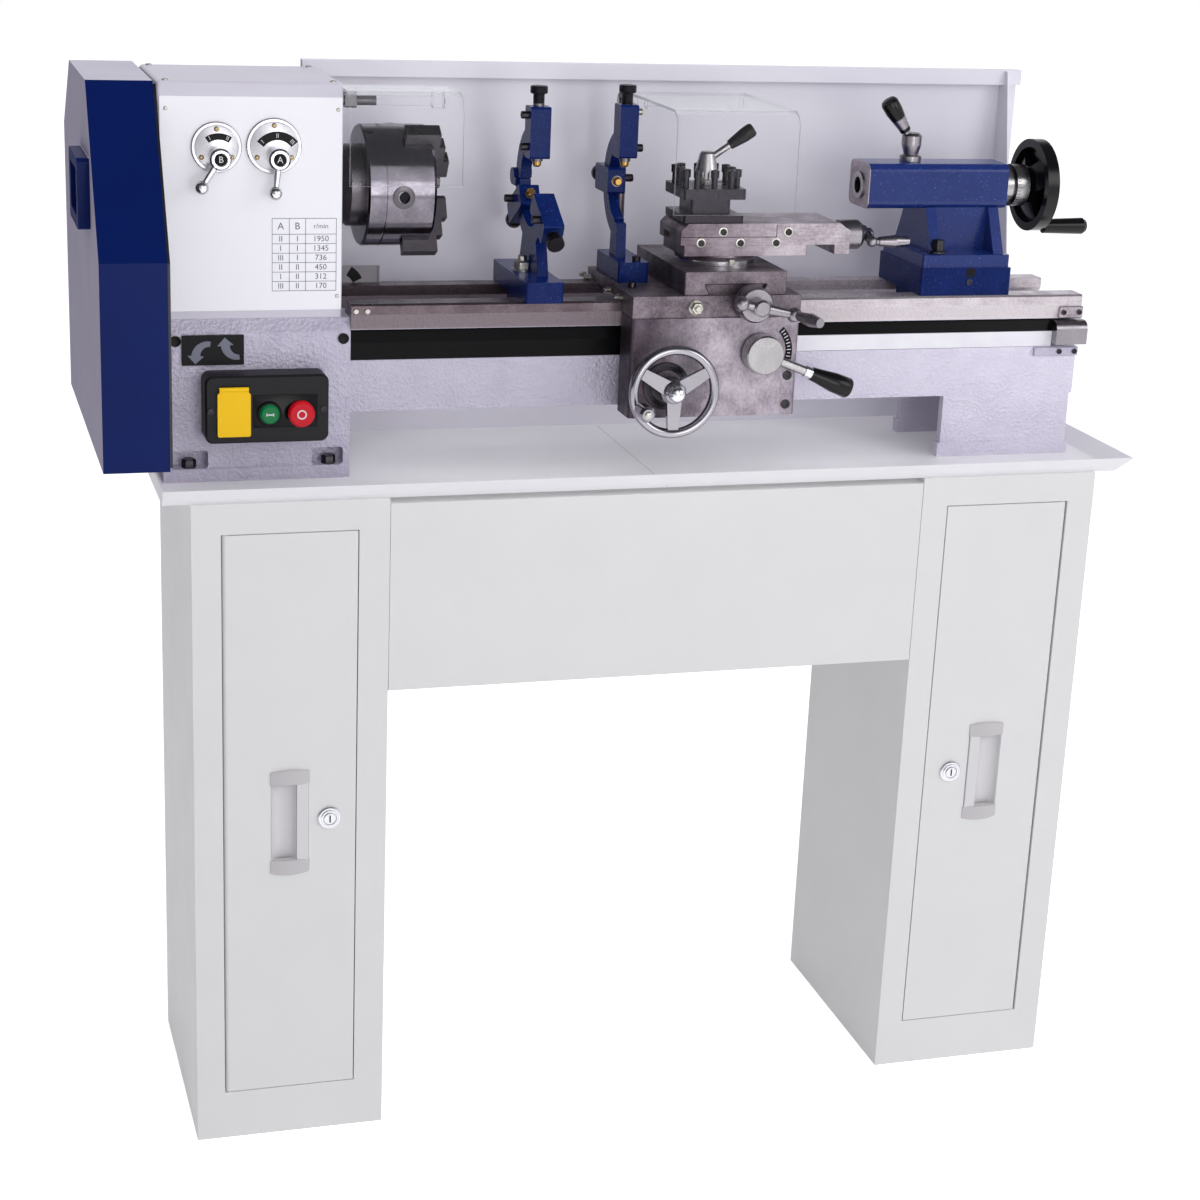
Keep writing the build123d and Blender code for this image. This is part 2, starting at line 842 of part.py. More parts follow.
# Belt drive: two grooved pulleys and the belt round them
input_pitch, motor_pitch = 40.0, 20.0
pulley_rim = 5.0
belt_width, belt_thick = 10.0, 4.0
belt_x = gear_x - 28.0
input_at = (input_y, input_z)


def pulley(x, centre, pitch):
    """A pulley with a flange each side of the belt."""
    turned(
        (x - 3.5, *centre),
        (1, 0, 0),
        [
            (0, pitch + pulley_rim),
            (3, pitch + pulley_rim),
            (3, pitch),
            (belt_width + 4, pitch),
            (belt_width + 4, pitch + pulley_rim),
            (belt_width + 7, pitch + pulley_rim),
        ],
    )


with BuildPart() as input_shaft:
    pulley(belt_x, input_at, input_pitch)
    disc(across(belt_x - 8), input_at, input_radius, -belt_x + bull_x + gear_width + 14)
    gear(bull_x, input_at, pinion_teeth, bearing(spindle_at, input_at) + 180 + 180 / pinion_teeth)
write(input_shaft, "input_shaft")

with BuildPart() as motor_pulley:
    pulley(belt_x, motor_at, motor_pitch)
    disc(across(belt_x - 8), motor_at, shaft_radius, motor_left + 30 - belt_x + 8)
write(motor_pulley, "motor_pulley")

with BuildPart() as belt:
    for extra, mode in ((clear + belt_thick, Mode.ADD), (clear, Mode.SUBTRACT)):
        with BuildSketch(across(belt_x)) as loop:
            with Locations(input_at):
                Circle(input_pitch + extra)
            with Locations(motor_at):
                Circle(motor_pitch + extra)
            make_hull()
        extrude(loop.sketch, amount=belt_width, mode=mode)
write(belt, "drive_belt")

# Gear guard: a hollow cover with sloped shoulders that swings on its back edge
guard_outline = [
    (-153.5, deck + 36.0),
    (-153.5, deck + 243.0),
    (-46.0, deck + 404.0),
    (151.0, deck + 404.0),
    (245.0, deck + 329.0),
    (245.0, deck + 36.0),
]
guard_out, guard_in = -253.0, -187.9
guard_wall = 2.5
backing = 2.5  # fixed plate behind the guard
guard_hinge = (guard_in + 0.3, 246.6)
barrel_radius = 2.5


def guard_form(x, inset, depth, mode=Mode.ADD):
    """The guard's outline, drawn in by inset and carried to the right from x by depth."""
    with BuildSketch(across(x)) as outline:
        with BuildLine():
            Polyline(*guard_outline, close=True)
        make_face()
        if inset > 0:
            offset(amount=-inset, kind=Kind.INTERSECTION, mode=Mode.REPLACE)
    extrude(outline.sketch, amount=depth, mode=mode)


with BuildPart() as gear_guard:
    guard_form(guard_out, 0, guard_in - guard_out)
    guard_form(guard_out + guard_wall, guard_wall, guard_in - guard_out, mode=Mode.SUBTRACT)
    for low in (deck + 70, deck + 270):
        turned((*guard_hinge, low), (0, 0, 1), [(0, barrel_radius), (45, barrel_radius)])
    # Pull: a raised pad with a finger recess, on the left face
    plate(across(guard_out - 12), (-75, deck + 262), (25, deck + 332), 12.5, corner=6)
    plate(across(guard_out - 13), (-58, deck + 274), (8, deck + 320), 10, corner=4, mode=Mode.SUBTRACT)
write(gear_guard, "gear_guard")

with BuildPart() as backplate:
    guard_form(head_left - backing, 3.0, backing)
    for centre, radius in (
        (spindle_at, spindle_radius + 4),
        (input_at, input_radius + 4),
        (screw_at, screw_radius + 4),
        (idler_at, stud_radius + 2),
        (motor_at, motor_radius - 4),
    ):
        disc(across(head_left - backing - 1), centre, radius, backing + 2, mode=Mode.SUBTRACT)
write(backplate, "guard_backplate")

# Chuck guard: a clear bent sheet on a pivot shaft that turns in the headstock
hood_left, hood_right = 3.0, 119.0
hood_front, hood_top, hood_low = -78.0, deck + 398.0, deck + 305.0
hood_sheet, hood_bend = 3.0, 25.0
hood_back = -2.0
with BuildPart() as chuck_guard:
    hood_width = hood_right - hood_left
    plate(across(hood_left), (hood_front, hood_low - 60), (80, hood_top), hood_width, corner=hood_bend)
    plate(
        across(hood_left - 1),
        (hood_front + hood_sheet, hood_low - 70),
        (90, hood_top - hood_sheet),
        hood_width + 2,
        corner=hood_bend - hood_sheet,
        mode=Mode.SUBTRACT,
    )
    plate(across(hood_left - 1), (hood_back, deck), (100, hood_top + 1), hood_width + 2, mode=Mode.SUBTRACT)
    plate(
        across(hood_left - 1), (hood_front - 1, deck), (100, hood_low), hood_width + 2, mode=Mode.SUBTRACT
    )
    disc(across(-case_wall + 1), pivot_at, pivot_radius, hood_right + case_wall - 6)
    for clamp in (hood_left + 6, hood_right - 18):
        plate(across(clamp), (pivot_at[0] - 7, pivot_at[1] - 7), (pivot_at[0] + 6, hood_top - 1), 12, corner=2)
write(chuck_guard, "chuck_guard")

# Saddle: an H-shaped casting on the ways, with a dovetail across it and a boss for the cross screw
saddle_left, saddle_right = 297.0, 484.0
saddle_front = -107.0
saddle_back = 75.0
saddle_top = deck + 195.0
saddle_lip = deck + 172.0  # underside of the wings, outside the ways
way_gap = 0.5
bridge_left, bridge_right = 300.0, 476.0
dove_x = 411.0  # middle of the cross slide
dove_low, dove_high, dove_rise = 28.0, 34.0, 11.0
cross_at = (425.0, deck + 189.0)  # cross screw axis, as (x, z)
boss_radius = 16.5
cross_shaft = 6.0
shield_axis = (66.0, deck + 376.5)  # rod of the tool shield, as (y, z)
rod_radius = 5.0
stand_x, stand_foot = 331.0, 7.0  # stand of that rod
stand_eye = 10.0
with BuildPart() as saddle:
    prism(
        across(saddle_left),
        [
            (saddle_front, saddle_lip),
            (saddle_front, saddle_top),
            (-way_inner, saddle_top),
            (-way_inner, way_z),
            (-way_y - way_gap, way_z),
            (-way_y - way_gap, saddle_lip),
        ],
        saddle_right - saddle_left,
    )
    prism(
        across(bridge_left),
        [
            (saddle_back, saddle_lip),
            (saddle_back, saddle_top),
            (way_inner, saddle_top),
            (way_inner, way_z),
            (way_y + way_gap, way_z),
            (way_y + way_gap, saddle_lip),
        ],
        saddle_right + 6 - bridge_left,
    )
    plate(level(way_z), (bridge_left, -way_inner - 1), (bridge_right, way_inner + 1), saddle_top - way_z)
    prism(
        facing(saddle_back + 5),
        [
            (dove_x - dove_low, saddle_top),
            (dove_x + dove_low, saddle_top),
            (dove_x + dove_high, saddle_top + dove_rise),
            (dove_x - dove_high, saddle_top + dove_rise),
        ],
        saddle_back + 5 - saddle_front - 10,
    )
    disc(facing(saddle_front), cross_at, boss_radius, 6)
    disc(
        facing(saddle_front + 30),
        cross_at,
        cross_shaft + running_gap,
        40,
        mode=Mode.SUBTRACT,
    )
    stand_height = shield_axis[1] - saddle_top - stand_eye + 2
    turned(
        (stand_x, shield_axis[0], saddle_top - 1),
        (0, 0, 1),
        [(0, stand_foot), (7, stand_foot), (9, 5), (stand_height, 5)],
    )
    disc(across(stand_x - 5), shield_axis, stand_eye, 10)
    disc(across(stand_x - 6), shield_axis, rod_radius + running_gap, 12, mode=Mode.SUBTRACT)
write(saddle, "saddle")

# Apron: a box casting, open at the back, with a bore for each of its shafts
apron_left, apron_right = 296.0, 483.0
apron_front, apron_back = -110.0, -66.5
apron_low = deck + 66.0
apron_wall = 9.0
wheel_at = (336.0, deck + 100.5)
nut_at = (439.0, deck + 135.0)
apron_shaft = 8.0
with BuildPart() as apron:
    apron_height = saddle_lip - apron_low
    plate(level(apron_low), (apron_left, apron_front), (apron_right, apron_back), apron_height, corner=5)
    plate(
        level(apron_low + apron_wall),
        (apron_left + apron_wall, apron_front + apron_wall),
        (apron_right - apron_wall, apron_back + 10),
        apron_height,
        mode=Mode.SUBTRACT,
    )
    for centre in (wheel_at, nut_at):
        disc(facing(apron_front), centre, 17, 3)
        disc(facing(apron_front + 12), centre, apron_shaft + running_gap, 20, mode=Mode.SUBTRACT)
write(apron, "apron")


def hand_wheel(hub, direction, across_dir, rim, tube, hub_radius, spokes, dish):
    """A rim, a hub and tapered spokes; the rim stands dish further along direction than the hub."""
    along = Vector(direction)
    rim_centre = Vector(hub) + along * dish
    ring_plane = Plane(rim_centre, x_dir=across_dir, z_dir=along.cross(Vector(across_dir)))
    with BuildSketch(ring_plane) as section:
        with Locations((rim, 0)):
            Ellipse(tube, tube * 1.15)
    revolve(section.sketch, axis=Axis(rim_centre, along))
    for index in range(spokes):
        spoke_plane = spun(hub, direction, across_dir, 360 / spokes * index + 30)
        with BuildSketch(spoke_plane.offset(dish - 3)) as spoke:
            with BuildLine():
                Polyline(
                    (hub_radius - 4, -8), (rim - 1, -5.5), (rim - 1, 5.5), (hub_radius - 4, 8), close=True
                )
            make_face()
        extrude(spoke.sketch, amount=6)


# Apron handwheel: a cast three-spoke wheel on its shaft, with a plain grip
wheel_rim, wheel_tube = 44.5, 5.0
wheel_y = apron_front - 3 - 30
with BuildPart() as handwheel:
    wheel_x, wheel_z = wheel_at
    turned(
        (wheel_x, wheel_y - 6, wheel_z),
        (0, 1, 0),
        [(0, 6), (4, 11), (10, 14), (24, 14), (24, 12), (35, 12), (35, apron_shaft), (52, apron_shaft)],
    )
    hand_wheel((wheel_x, wheel_y, wheel_z), (0, -1, 0), (1, 0, 0), wheel_rim, wheel_tube, 14, 3, -4)
    grip_angle = radians(200)
    grip_x = wheel_x + (wheel_rim - 2) * cos(grip_angle)
    grip_z = wheel_z + (wheel_rim - 2) * sin(grip_angle)
    turned(
        (grip_x, wheel_y + 2, grip_z),
        (0, -1, 0),
        [(0, 4), (10, 4), (10, 6.5), (14, 8), (34, 8.5), (38, 6)],
    )
write(handwheel, "apron_handwheel")

# Half-nut lever: a round boss with a slanting rod and a tapered grip
nut_radius, nut_front = 21.0, apron_front - 3 - 18
lever_end = (537.0, deck + 97.0)
with BuildPart() as halfnut:
    nut_x, nut_z = nut_at
    turned(
        (nut_x, nut_front, nut_z),
        (0, 1, 0),
        [
            (0, nut_radius - 1.5),
            (1.5, nut_radius),
            (17.5, nut_radius),
            (17.5, apron_shaft),
            (40, apron_shaft),
        ],
    )
    toward = (lever_end[0] - nut_x, -8, lever_end[1] - nut_z)
    reach = Vector(toward).length
    turned(
        (nut_x, nut_front + 9, nut_z),
        toward,
        [
            (0, 5),
            (reach - 46, 5),
            (reach - 46, 7),
            (reach - 20, 10.5),
            (reach - 3, 11),
            (reach, 8),
        ],
    )
write(halfnut, "halfnut_lever")

# Cross slide: a block with a dovetail slot that fits over the saddle
slide_gap = 0.3
cross_left, cross_right = 354.0, 468.0
cross_front, cross_back = -103.0, 70.0
cross_top = deck + 219.5
with BuildPart() as cross_slide:
    low = saddle_top + slide_gap
    plate(level(low), (cross_left, cross_front), (cross_right, cross_back), cross_top - low, corner=2)
    prism(
        facing(cross_back + 1),
        [
            (dove_x - dove_low - slide_gap - 0.3, saddle_top - 0.3),
            (dove_x + dove_low + slide_gap + 0.3, saddle_top - 0.3),
            (dove_x + dove_high + slide_gap + 0.3, saddle_top + dove_rise + slide_gap),
            (dove_x - dove_high - slide_gap - 0.3, saddle_top + dove_rise + slide_gap),
        ],
        cross_back - cross_front + 2,
        mode=Mode.SUBTRACT,
    )
write(cross_slide, "cross_slide")


def ball_crank(hub, direction, arm, small, large, grip_start, grip):
    """A crank: a hub, a tapered arm each way to a ball, and a tapered grip along direction."""
    hub_at = Vector(hub)
    along = Vector(direction).normalized()
    arm_dir = Vector(arm).normalized()
    far = Vector(arm).length
    near = far * 0.55
    turned(hub_at - arm_dir * near, arm_dir, [(0, 3.6), (near, 6.2), (near + far, 4.3)])
    ball(hub_at - arm_dir * near, small)
    ball(hub_at + arm_dir * far, large)
    turned(
        hub_at + arm_dir * far + along * (large - 3),
        along,
        [(0, 3.8), (grip_start, 3.8), (grip_start, 5), (grip * 0.6, 7), (grip, 5)],
    )


# Cross-feed crank: a dial and a ball crank on the screw's end
dial_radius = 20.0
crank_y = saddle_front - 6 - 30
with BuildPart() as cross_crank:
    cross_x, cross_z = cross_at
    turned(
        (cross_x, crank_y - 8, cross_z),
        (0, 1, 0),
        [
            (0, 7),
            (2, 9),
            (18, 9),
            (18, dial_radius - 3),
            (22, dial_radius - 1),
            (37.5, dial_radius - 1),
            (37.5, cross_shaft),
            (62, cross_shaft),
        ],
    )
    ball_crank((cross_x, crank_y, cross_z), (0.25, -1, 0), (38, 0, -8), 8, 8, 6, 42)
write(cross_crank, "cross_crank")

# Compound base: a swivel disc that carries the lower half of the top slide
swivel_at = (411.0, -28.0)
swivel_radius = 43.0
swivel_low = cross_top + slide_gap
swivel_top = deck + 230.0
ledge_top, ledge_half = deck + 241.0, 36.0
base_left, base_right = 364.0, 504.0
rail_low, rail_high, rail_rise = 19.0, 23.0, 8.0
with BuildPart() as compound:
    turned(
        (*swivel_at, swivel_low),
        (0, 0, 1),
        [(0, swivel_radius), (5, swivel_radius), (8, swivel_radius - 6), (swivel_top - swivel_low, ledge_half)],
    )
    plate(
        level(swivel_top - 0.5),
        (base_left, swivel_at[1] - ledge_half),
        (base_right, swivel_at[1] + ledge_half),
        ledge_top - swivel_top + 0.5,
        corner=2,
    )
    prism(
        across(base_left),
        [
            (swivel_at[1] - rail_low, ledge_top),
            (swivel_at[1] + rail_low, ledge_top),
            (swivel_at[1] + rail_high, ledge_top + rail_rise),
            (swivel_at[1] - rail_high, ledge_top + rail_rise),
        ],
        base_right - base_left,
    )
write(compound, "compound_base")

# Top slide: it runs on the compound's rail and carries the tool post on a stud
top_left, top_right = 360.0, 552.0
end_block, end_drop = 17.0, 10.5
top_high = deck + 264.0
top_half = 37.0
post_at = (397.0, -28.0)
stud = 5.0
top_screw = (-28.0, deck + 246.0)
top_shaft = 5.0
with BuildPart() as top_slide:
    low = ledge_top + slide_gap
    slide_outline = [
        (top_left, low),
        (top_left, top_high - 8),
        (top_left + 8, top_high),
        (top_right - 12, top_high),
        (top_right, top_high - 8),
        (top_right, low - end_drop),
        (top_right - end_block, low - end_drop),
        (top_right - end_block, low),
    ]
    prism(facing(swivel_at[1] + top_half), slide_outline, 2 * top_half)
    prism(
        across(top_left - 1),
        [
            (swivel_at[1] - rail_low - 2 * slide_gap, ledge_top - 0.3),
            (swivel_at[1] + rail_low + 2 * slide_gap, ledge_top - 0.3),
            (swivel_at[1] + rail_high + 2 * slide_gap, ledge_top + rail_rise + slide_gap),
            (swivel_at[1] - rail_high - 2 * slide_gap, ledge_top + rail_rise + slide_gap),
        ],
        top_right - 20 - top_left,
        mode=Mode.SUBTRACT,
    )
    disc(across(top_right - 25), top_screw, top_shaft + running_gap, 30, mode=Mode.SUBTRACT)
    turned((*post_at, top_high - 1), (0, 0, 1), [(0, stud), (60, stud), (62, stud - 2)])
write(top_slide, "top_slide")

# Top slide crank
crank_x = top_right + 34.0
with BuildPart() as top_crank:
    turned(
        (crank_x + 7, *top_screw),
        (-1, 0, 0),
        [
            (0, 5),
            (2, 7),
            (14, 7),
            (14, 13),
            (18, 16),
            (40.5, 16),
            (40.5, top_shaft),
            (60, top_shaft),
        ],
    )
    ball_crank((crank_x, *top_screw), (1, 0, 0), (0, -18, -5), 6, 6, 5, 40)
write(top_crank, "top_crank")

# Four-way tool post: two square plates on a core, with clamp screws
post_half, core_half = 34.5, 22.0
post_low = top_high + slide_gap
slot_low, slot_high, post_high = deck + 272.0, deck + 289.0, deck + 300.0
screw_head, screw_shank, screw_rise, head_height = 4.5, 3.2, 18.0, 7.0
screw_inset = 6.0
post_corner = 3.0


def square_on(z, half, depth, corner):
    """A square plate round the tool post's axis."""
    x, y = post_at
    plate(level(z), (x - half, y - half), (x + half, y + half), depth, corner=corner)


with BuildPart() as toolpost:
    square_on(post_low, post_half - 1, slot_low - post_low, post_corner)
    square_on(slot_low - 1, core_half, slot_high - slot_low + 2, post_corner)
    square_on(slot_high, post_half, post_high - slot_high, post_corner)
    for side_x, side_y in ((1, 0), (0, 1), (-1, 0), (0, -1)):
        for place in (-19.0, 0.0, 19.0):
            x = post_at[0] + side_x * (post_half - screw_inset) + abs(side_y) * place
            y = post_at[1] + side_y * (post_half - screw_inset) + abs(side_x) * place
            with Locations((x, y, post_high + screw_rise / 2 - 0.5)):
                Cylinder(screw_shank, screw_rise)
            with Locations((x, y, post_high + screw_rise - head_height / 2)):
                Cylinder(screw_head, head_height)
    disc(level(post_low - 1), post_at, stud + running_gap, post_high - post_low + 2, mode=Mode.SUBTRACT)
write(toolpost, "toolpost")

# Tool post lever: a cone nut on the stud, with a slanting rod and a grip
with BuildPart() as post_lever:
    post_x, post_y = post_at
    turned(
        (post_x, post_y, post_high + clear),
        (0, 0, 1),
        [(0, 8.5), (5, 8.5), (6, 12), (14, 12.5), (33, 8), (35, 6.5)],
    )
    disc(level(post_high), post_at, stud + running_gap, 28, mode=Mode.SUBTRACT)
    toward = (44, -9, 33)
    reach = Vector(toward).length
    turned(
        (post_x + 3, post_y - 1, post_high + 28),
        toward,
        [(0, 3.5), (reach - 30, 3.5), (reach - 30, 5), (reach - 12, 7.5), (reach - 3, 7.5), (reach, 5.5)],
    )
write(post_lever, "toolpost_lever")

# Tool shield: a clear bent sheet that swings on a rod behind the cross slide
shield_left, shield_right = 338.0, 472.0
shield_front, shield_low = -103.0, deck + 279.0
shield_top = deck + 386.0
shield_bend = 18.0
with BuildPart() as shield:
    width = shield_right - shield_left
    plate(across(shield_left), (shield_front, deck + 220), (160, shield_top), width, corner=shield_bend)
    plate(
        across(shield_left - 1),
        (shield_front + hood_sheet, deck + 210),
        (170, shield_top - hood_sheet),
        width + 2,
        corner=shield_bend - hood_sheet,
        mode=Mode.SUBTRACT,
    )
    plate(
        across(shield_left - 1), (shield_axis[0] + 8, deck), (180, shield_top + 1), width + 2, mode=Mode.SUBTRACT
    )
    plate(across(shield_left - 1), (shield_front - 1, deck), (180, shield_low), width + 2, mode=Mode.SUBTRACT)
    disc(across(stand_x - 7), shield_axis, rod_radius, shield_right - stand_x + 3)
    for clamp in (shield_left + 6, shield_right - 18):
        plate(
            across(clamp),
            (shield_axis[0] - 7, shield_axis[1] - 7),
            (shield_axis[0] + 7, shield_top - 1),
            12,
            corner=2,
        )
write(shield, "tool_shield")


# Fingers of both rests
finger_tip, tip_radius = 19.0, 4.6
finger_shank, finger_head = 6.0, 9.2


def rest_finger(name, x, angle, head_start):
    """A finger of a rest: a slim brass tip, a round shank and a knurled head, at angle in the YZ plane."""
    outward = (0, cos(radians(angle)), sin(radians(angle)))
    with BuildPart() as finger:
        turned(
            (x, 0, axis_z),
            outward,
            [
                (finger_tip, tip_radius - 1.4),
                (finger_tip + 2, tip_radius),
                (finger_tip + 6, tip_radius),
                (finger_tip + 6, finger_shank),
                (head_start, finger_shank),
                (head_start, finger_head - 1),
                (head_start + 1, finger_head),
                (head_start + 7, finger_head),
                (head_start + 8, finger_head - 1),
            ],
        )
    write(finger, name)


def around(radius, angle):
    """The point at a radius and an angle about the spindle axis, as (y, z)."""
    return (radius * cos(radians(angle)), axis_z + radius * sin(radians(angle)))


def arc_web(x, thick, inner, outer, start, end):
    """A flat piece of a ring about the spindle axis, from one angle to another, in the middle at x."""
    middle = (start + end) / 2
    with BuildSketch(across(x - thick / 2)) as ring:
        with BuildLine():
            ThreePointArc(around(outer, start), around(outer, middle), around(outer, end))
            Line(around(outer, end), around(inner, end))
            ThreePointArc(around(inner, end), around(inner, middle), around(inner, start))
            Line(around(inner, start), around(outer, start))
        make_face()
    extrude(ring.sketch, amount=thick)


def finger_block(x, thick, angle, near, far, half):
    """The block that guides a finger, along the radius at angle from near to far."""
    with BuildSketch(across(x - thick / 2)) as block:
        with Locations(Location(around((near + far) / 2, angle), angle)):
            RectangleRounded(far - near, 2 * half, 3)
    extrude(block.sketch, amount=thick)


def finger_bore(x, angle):
    """The radial hole for a finger."""
    turned(
        (x, 0, axis_z),
        (0, cos(radians(angle)), sin(radians(angle))),
        [(20, finger_shank + running_gap), (100, finger_shank + running_gap)],
        mode=Mode.SUBTRACT,
    )


# Follow rest: a hooked web on the saddle that backs the work with two fingers
follow_mid, follow_web, follow_thick = 314.0, 11.0, 20.0
follow_inner, follow_outer = 40.0, 58.0
follow_foot = 22.0
follow_fingers = {
    "follow_finger_top": dict(angle=90.0, block=(29.0, 85.0), half=12.0, head=97.0),
    "follow_finger_side": dict(angle=0.0, block=(26.0, 74.0), half=14.0, head=86.0),
}
with BuildPart() as follow_rest:
    arc_web(follow_mid, follow_web, follow_inner, follow_outer, -75, 90)
    prism(
        across(follow_mid - follow_web / 2),
        [(2, axis_z - 42), (22, axis_z - 40), (26, saddle_top + 1), (-2, saddle_top + 1)],
        follow_web,
    )
    plate(level(saddle_top), (304.0, -28.0), (338.0, 58.0), follow_foot, corner=3)
    for spec in follow_fingers.values():
        finger_block(follow_mid, follow_thick, spec["angle"], *spec["block"], spec["half"])
    for spec in follow_fingers.values():
        finger_bore(follow_mid, spec["angle"])
write(follow_rest, "follow_rest")
for name, spec in follow_fingers.items():
    rest_finger(name, follow_mid, spec["angle"], spec["head"])

# Steady rest: a web on a foot that clamps to the ways, and an arm that swings up from its back
steady_mid, steady_web, steady_thick = 217.0, 12.0, 22.0
steady_inner, steady_outer = 44.0, 62.0
steady_hinge = (steady_outer + 6, axis_z)  # as (y, z)
lug_radius, lug_depth, pin_radius = 9.0, 9.0, 4.0
split_gap = 0.3
block_half = 12.0
steady_fingers = {
    "steady_finger_top": dict(angle=90.0, block=(28.0, 82.0), head=95.0),
    "steady_finger_front": dict(angle=210.0, block=(28.0, 84.0), head=93.0),
    "steady_finger_back": dict(angle=330.0, block=(28.0, 84.0), head=97.0),
}
foot_top = deck + 205.0
lug_cut = lug_radius + 1
with BuildPart() as steady_base:
    arc_web(steady_mid, steady_web, steady_inner, steady_outer, 200, 359.5)
    prism(
        across(steady_mid - steady_web / 2),
        [
            (-40, foot_top - 1),
            (-26, axis_z - steady_outer + 12),
            (26, axis_z - steady_outer + 12),
            (40, foot_top - 1),
        ],
        steady_web,
    )
    plate(level(way_z), (190.0, -74.0), (231.0, 70.0), foot_top - way_z, corner=3)
    plate(level(way_z - 16), (196.0, -28.0), (226.0, 28.0), 17)
    for name in ("steady_finger_front", "steady_finger_back"):
        spec = steady_fingers[name]
        finger_block(steady_mid, steady_thick, spec["angle"], *spec["block"], block_half)
        finger_bore(steady_mid, spec["angle"])
    disc(across(steady_mid - split_gap), steady_hinge, lug_cut, steady_thick, mode=Mode.SUBTRACT)
    disc(across(steady_mid - lug_depth), steady_hinge, lug_radius, lug_depth - split_gap)
    plate(
        across(steady_mid - lug_depth),
        (steady_outer - 10, axis_z - lug_radius),
        (steady_hinge[0], axis_z - split_gap),
        lug_depth - split_gap,
    )
    disc(across(steady_mid - lug_depth), steady_hinge, pin_radius, 2 * lug_depth + 2)
write(steady_base, "steady_base")

with BuildPart() as steady_arm:
    spec = steady_fingers["steady_finger_top"]
    arc_web(steady_mid, steady_web, steady_inner, steady_outer, 0.5, 78)
    finger_block(steady_mid, steady_thick, spec["angle"], *spec["block"], block_half)
    finger_bore(steady_mid, spec["angle"])
    disc(
        across(steady_mid - steady_thick),
        steady_hinge,
        lug_cut,
        steady_thick + split_gap,
        mode=Mode.SUBTRACT,
    )
    disc(across(steady_mid + split_gap), steady_hinge, lug_radius, lug_depth - split_gap)
    plate(
        across(steady_mid + split_gap),
        (steady_outer - 10, axis_z + split_gap),
        (steady_hinge[0], axis_z + lug_radius),
        lug_depth - split_gap,
    )
    disc(across(steady_mid), steady_hinge, pin_radius + running_gap, lug_depth + 1, mode=Mode.SUBTRACT)
write(steady_arm, "steady_arm")
for name, spec in steady_fingers.items():
    rest_finger(name, steady_mid, spec["angle"], spec["head"])

# Tailstock base and body: a foot on the ways, and a barrel on a waisted web
tail_left, tail_right = 642.0, 750.0
tail_split, tail_flange = deck + 213.0, deck + 227.0
tail_half = 60.0
barrel_left, barrel_right = 585.5, 752.0
barrel_half, barrel_low, barrel_high = 28.0, deck + 273.0, deck + 322.0
quill_radius = 15.0
tail_screw = 6.0
clamp_pin = 5.0
clamp_at = (644.0, 0.0)
with BuildPart() as tail_base:
    plate(level(way_z), (tail_left, -tail_half), (tail_right, tail_half), tail_split - way_z, corner=3)
    plate(level(way_z - 14), (tail_left + 10, -28.0), (tail_right - 10, 28.0), 15)
write(tail_base, "tailstock_base")

with BuildPart() as tail_body:
    plate(
        level(tail_split),
        (tail_left + 2, -tail_half + 3),
        (tail_right - 2, tail_half - 3),
        tail_flange - tail_split,
        corner=3,
    )
    # The web is waisted: two hollows along the barrel leave a neck between two fins
    plate(level(tail_flange - 1), (655.0, -24.0), (742.0, 24.0), barrel_low - tail_flange + 4)
    for fin in (655.0, 730.0):
        prism(
            across(fin),
            [
                (-tail_half + 8, tail_flange - 1),
                (-barrel_half, barrel_low + 2),
                (barrel_half, barrel_low + 2),
                (tail_half - 8, tail_flange - 1),
            ],
            12,
        )
    plate(
        across(barrel_left), (-barrel_half, barrel_low), (barrel_half, barrel_high), barrel_right - barrel_left, 9
    )
    disc(
        across(barrel_left - 1),
        spindle_at,
        quill_radius + running_gap,
        barrel_right - barrel_left - 9,
        mode=Mode.SUBTRACT,
    )
    disc(across(barrel_left), spindle_at, tail_screw + running_gap, 200, mode=Mode.SUBTRACT)
    disc(level(barrel_high - 9), clamp_at, clamp_pin + running_gap, 12, mode=Mode.SUBTRACT)
write(tail_body, "tailstock_body")

# Quill: a hollow sleeve with a tapered seat, driven by the handwheel's screw
quill_left, quill_right = 583.5, 735.0
with BuildPart() as quill:
    disc(across(quill_left), spindle_at, quill_radius, quill_right - quill_left)
    turned(
        (quill_left - 1, 0, axis_z),
        (1, 0, 0),
        [(0, 9.0), (66, 7.4)],
        mode=Mode.SUBTRACT,
    )
    disc(across(quill_left + 60), spindle_at, tail_screw + 0.8, 120, mode=Mode.SUBTRACT)
write(quill, "quill")

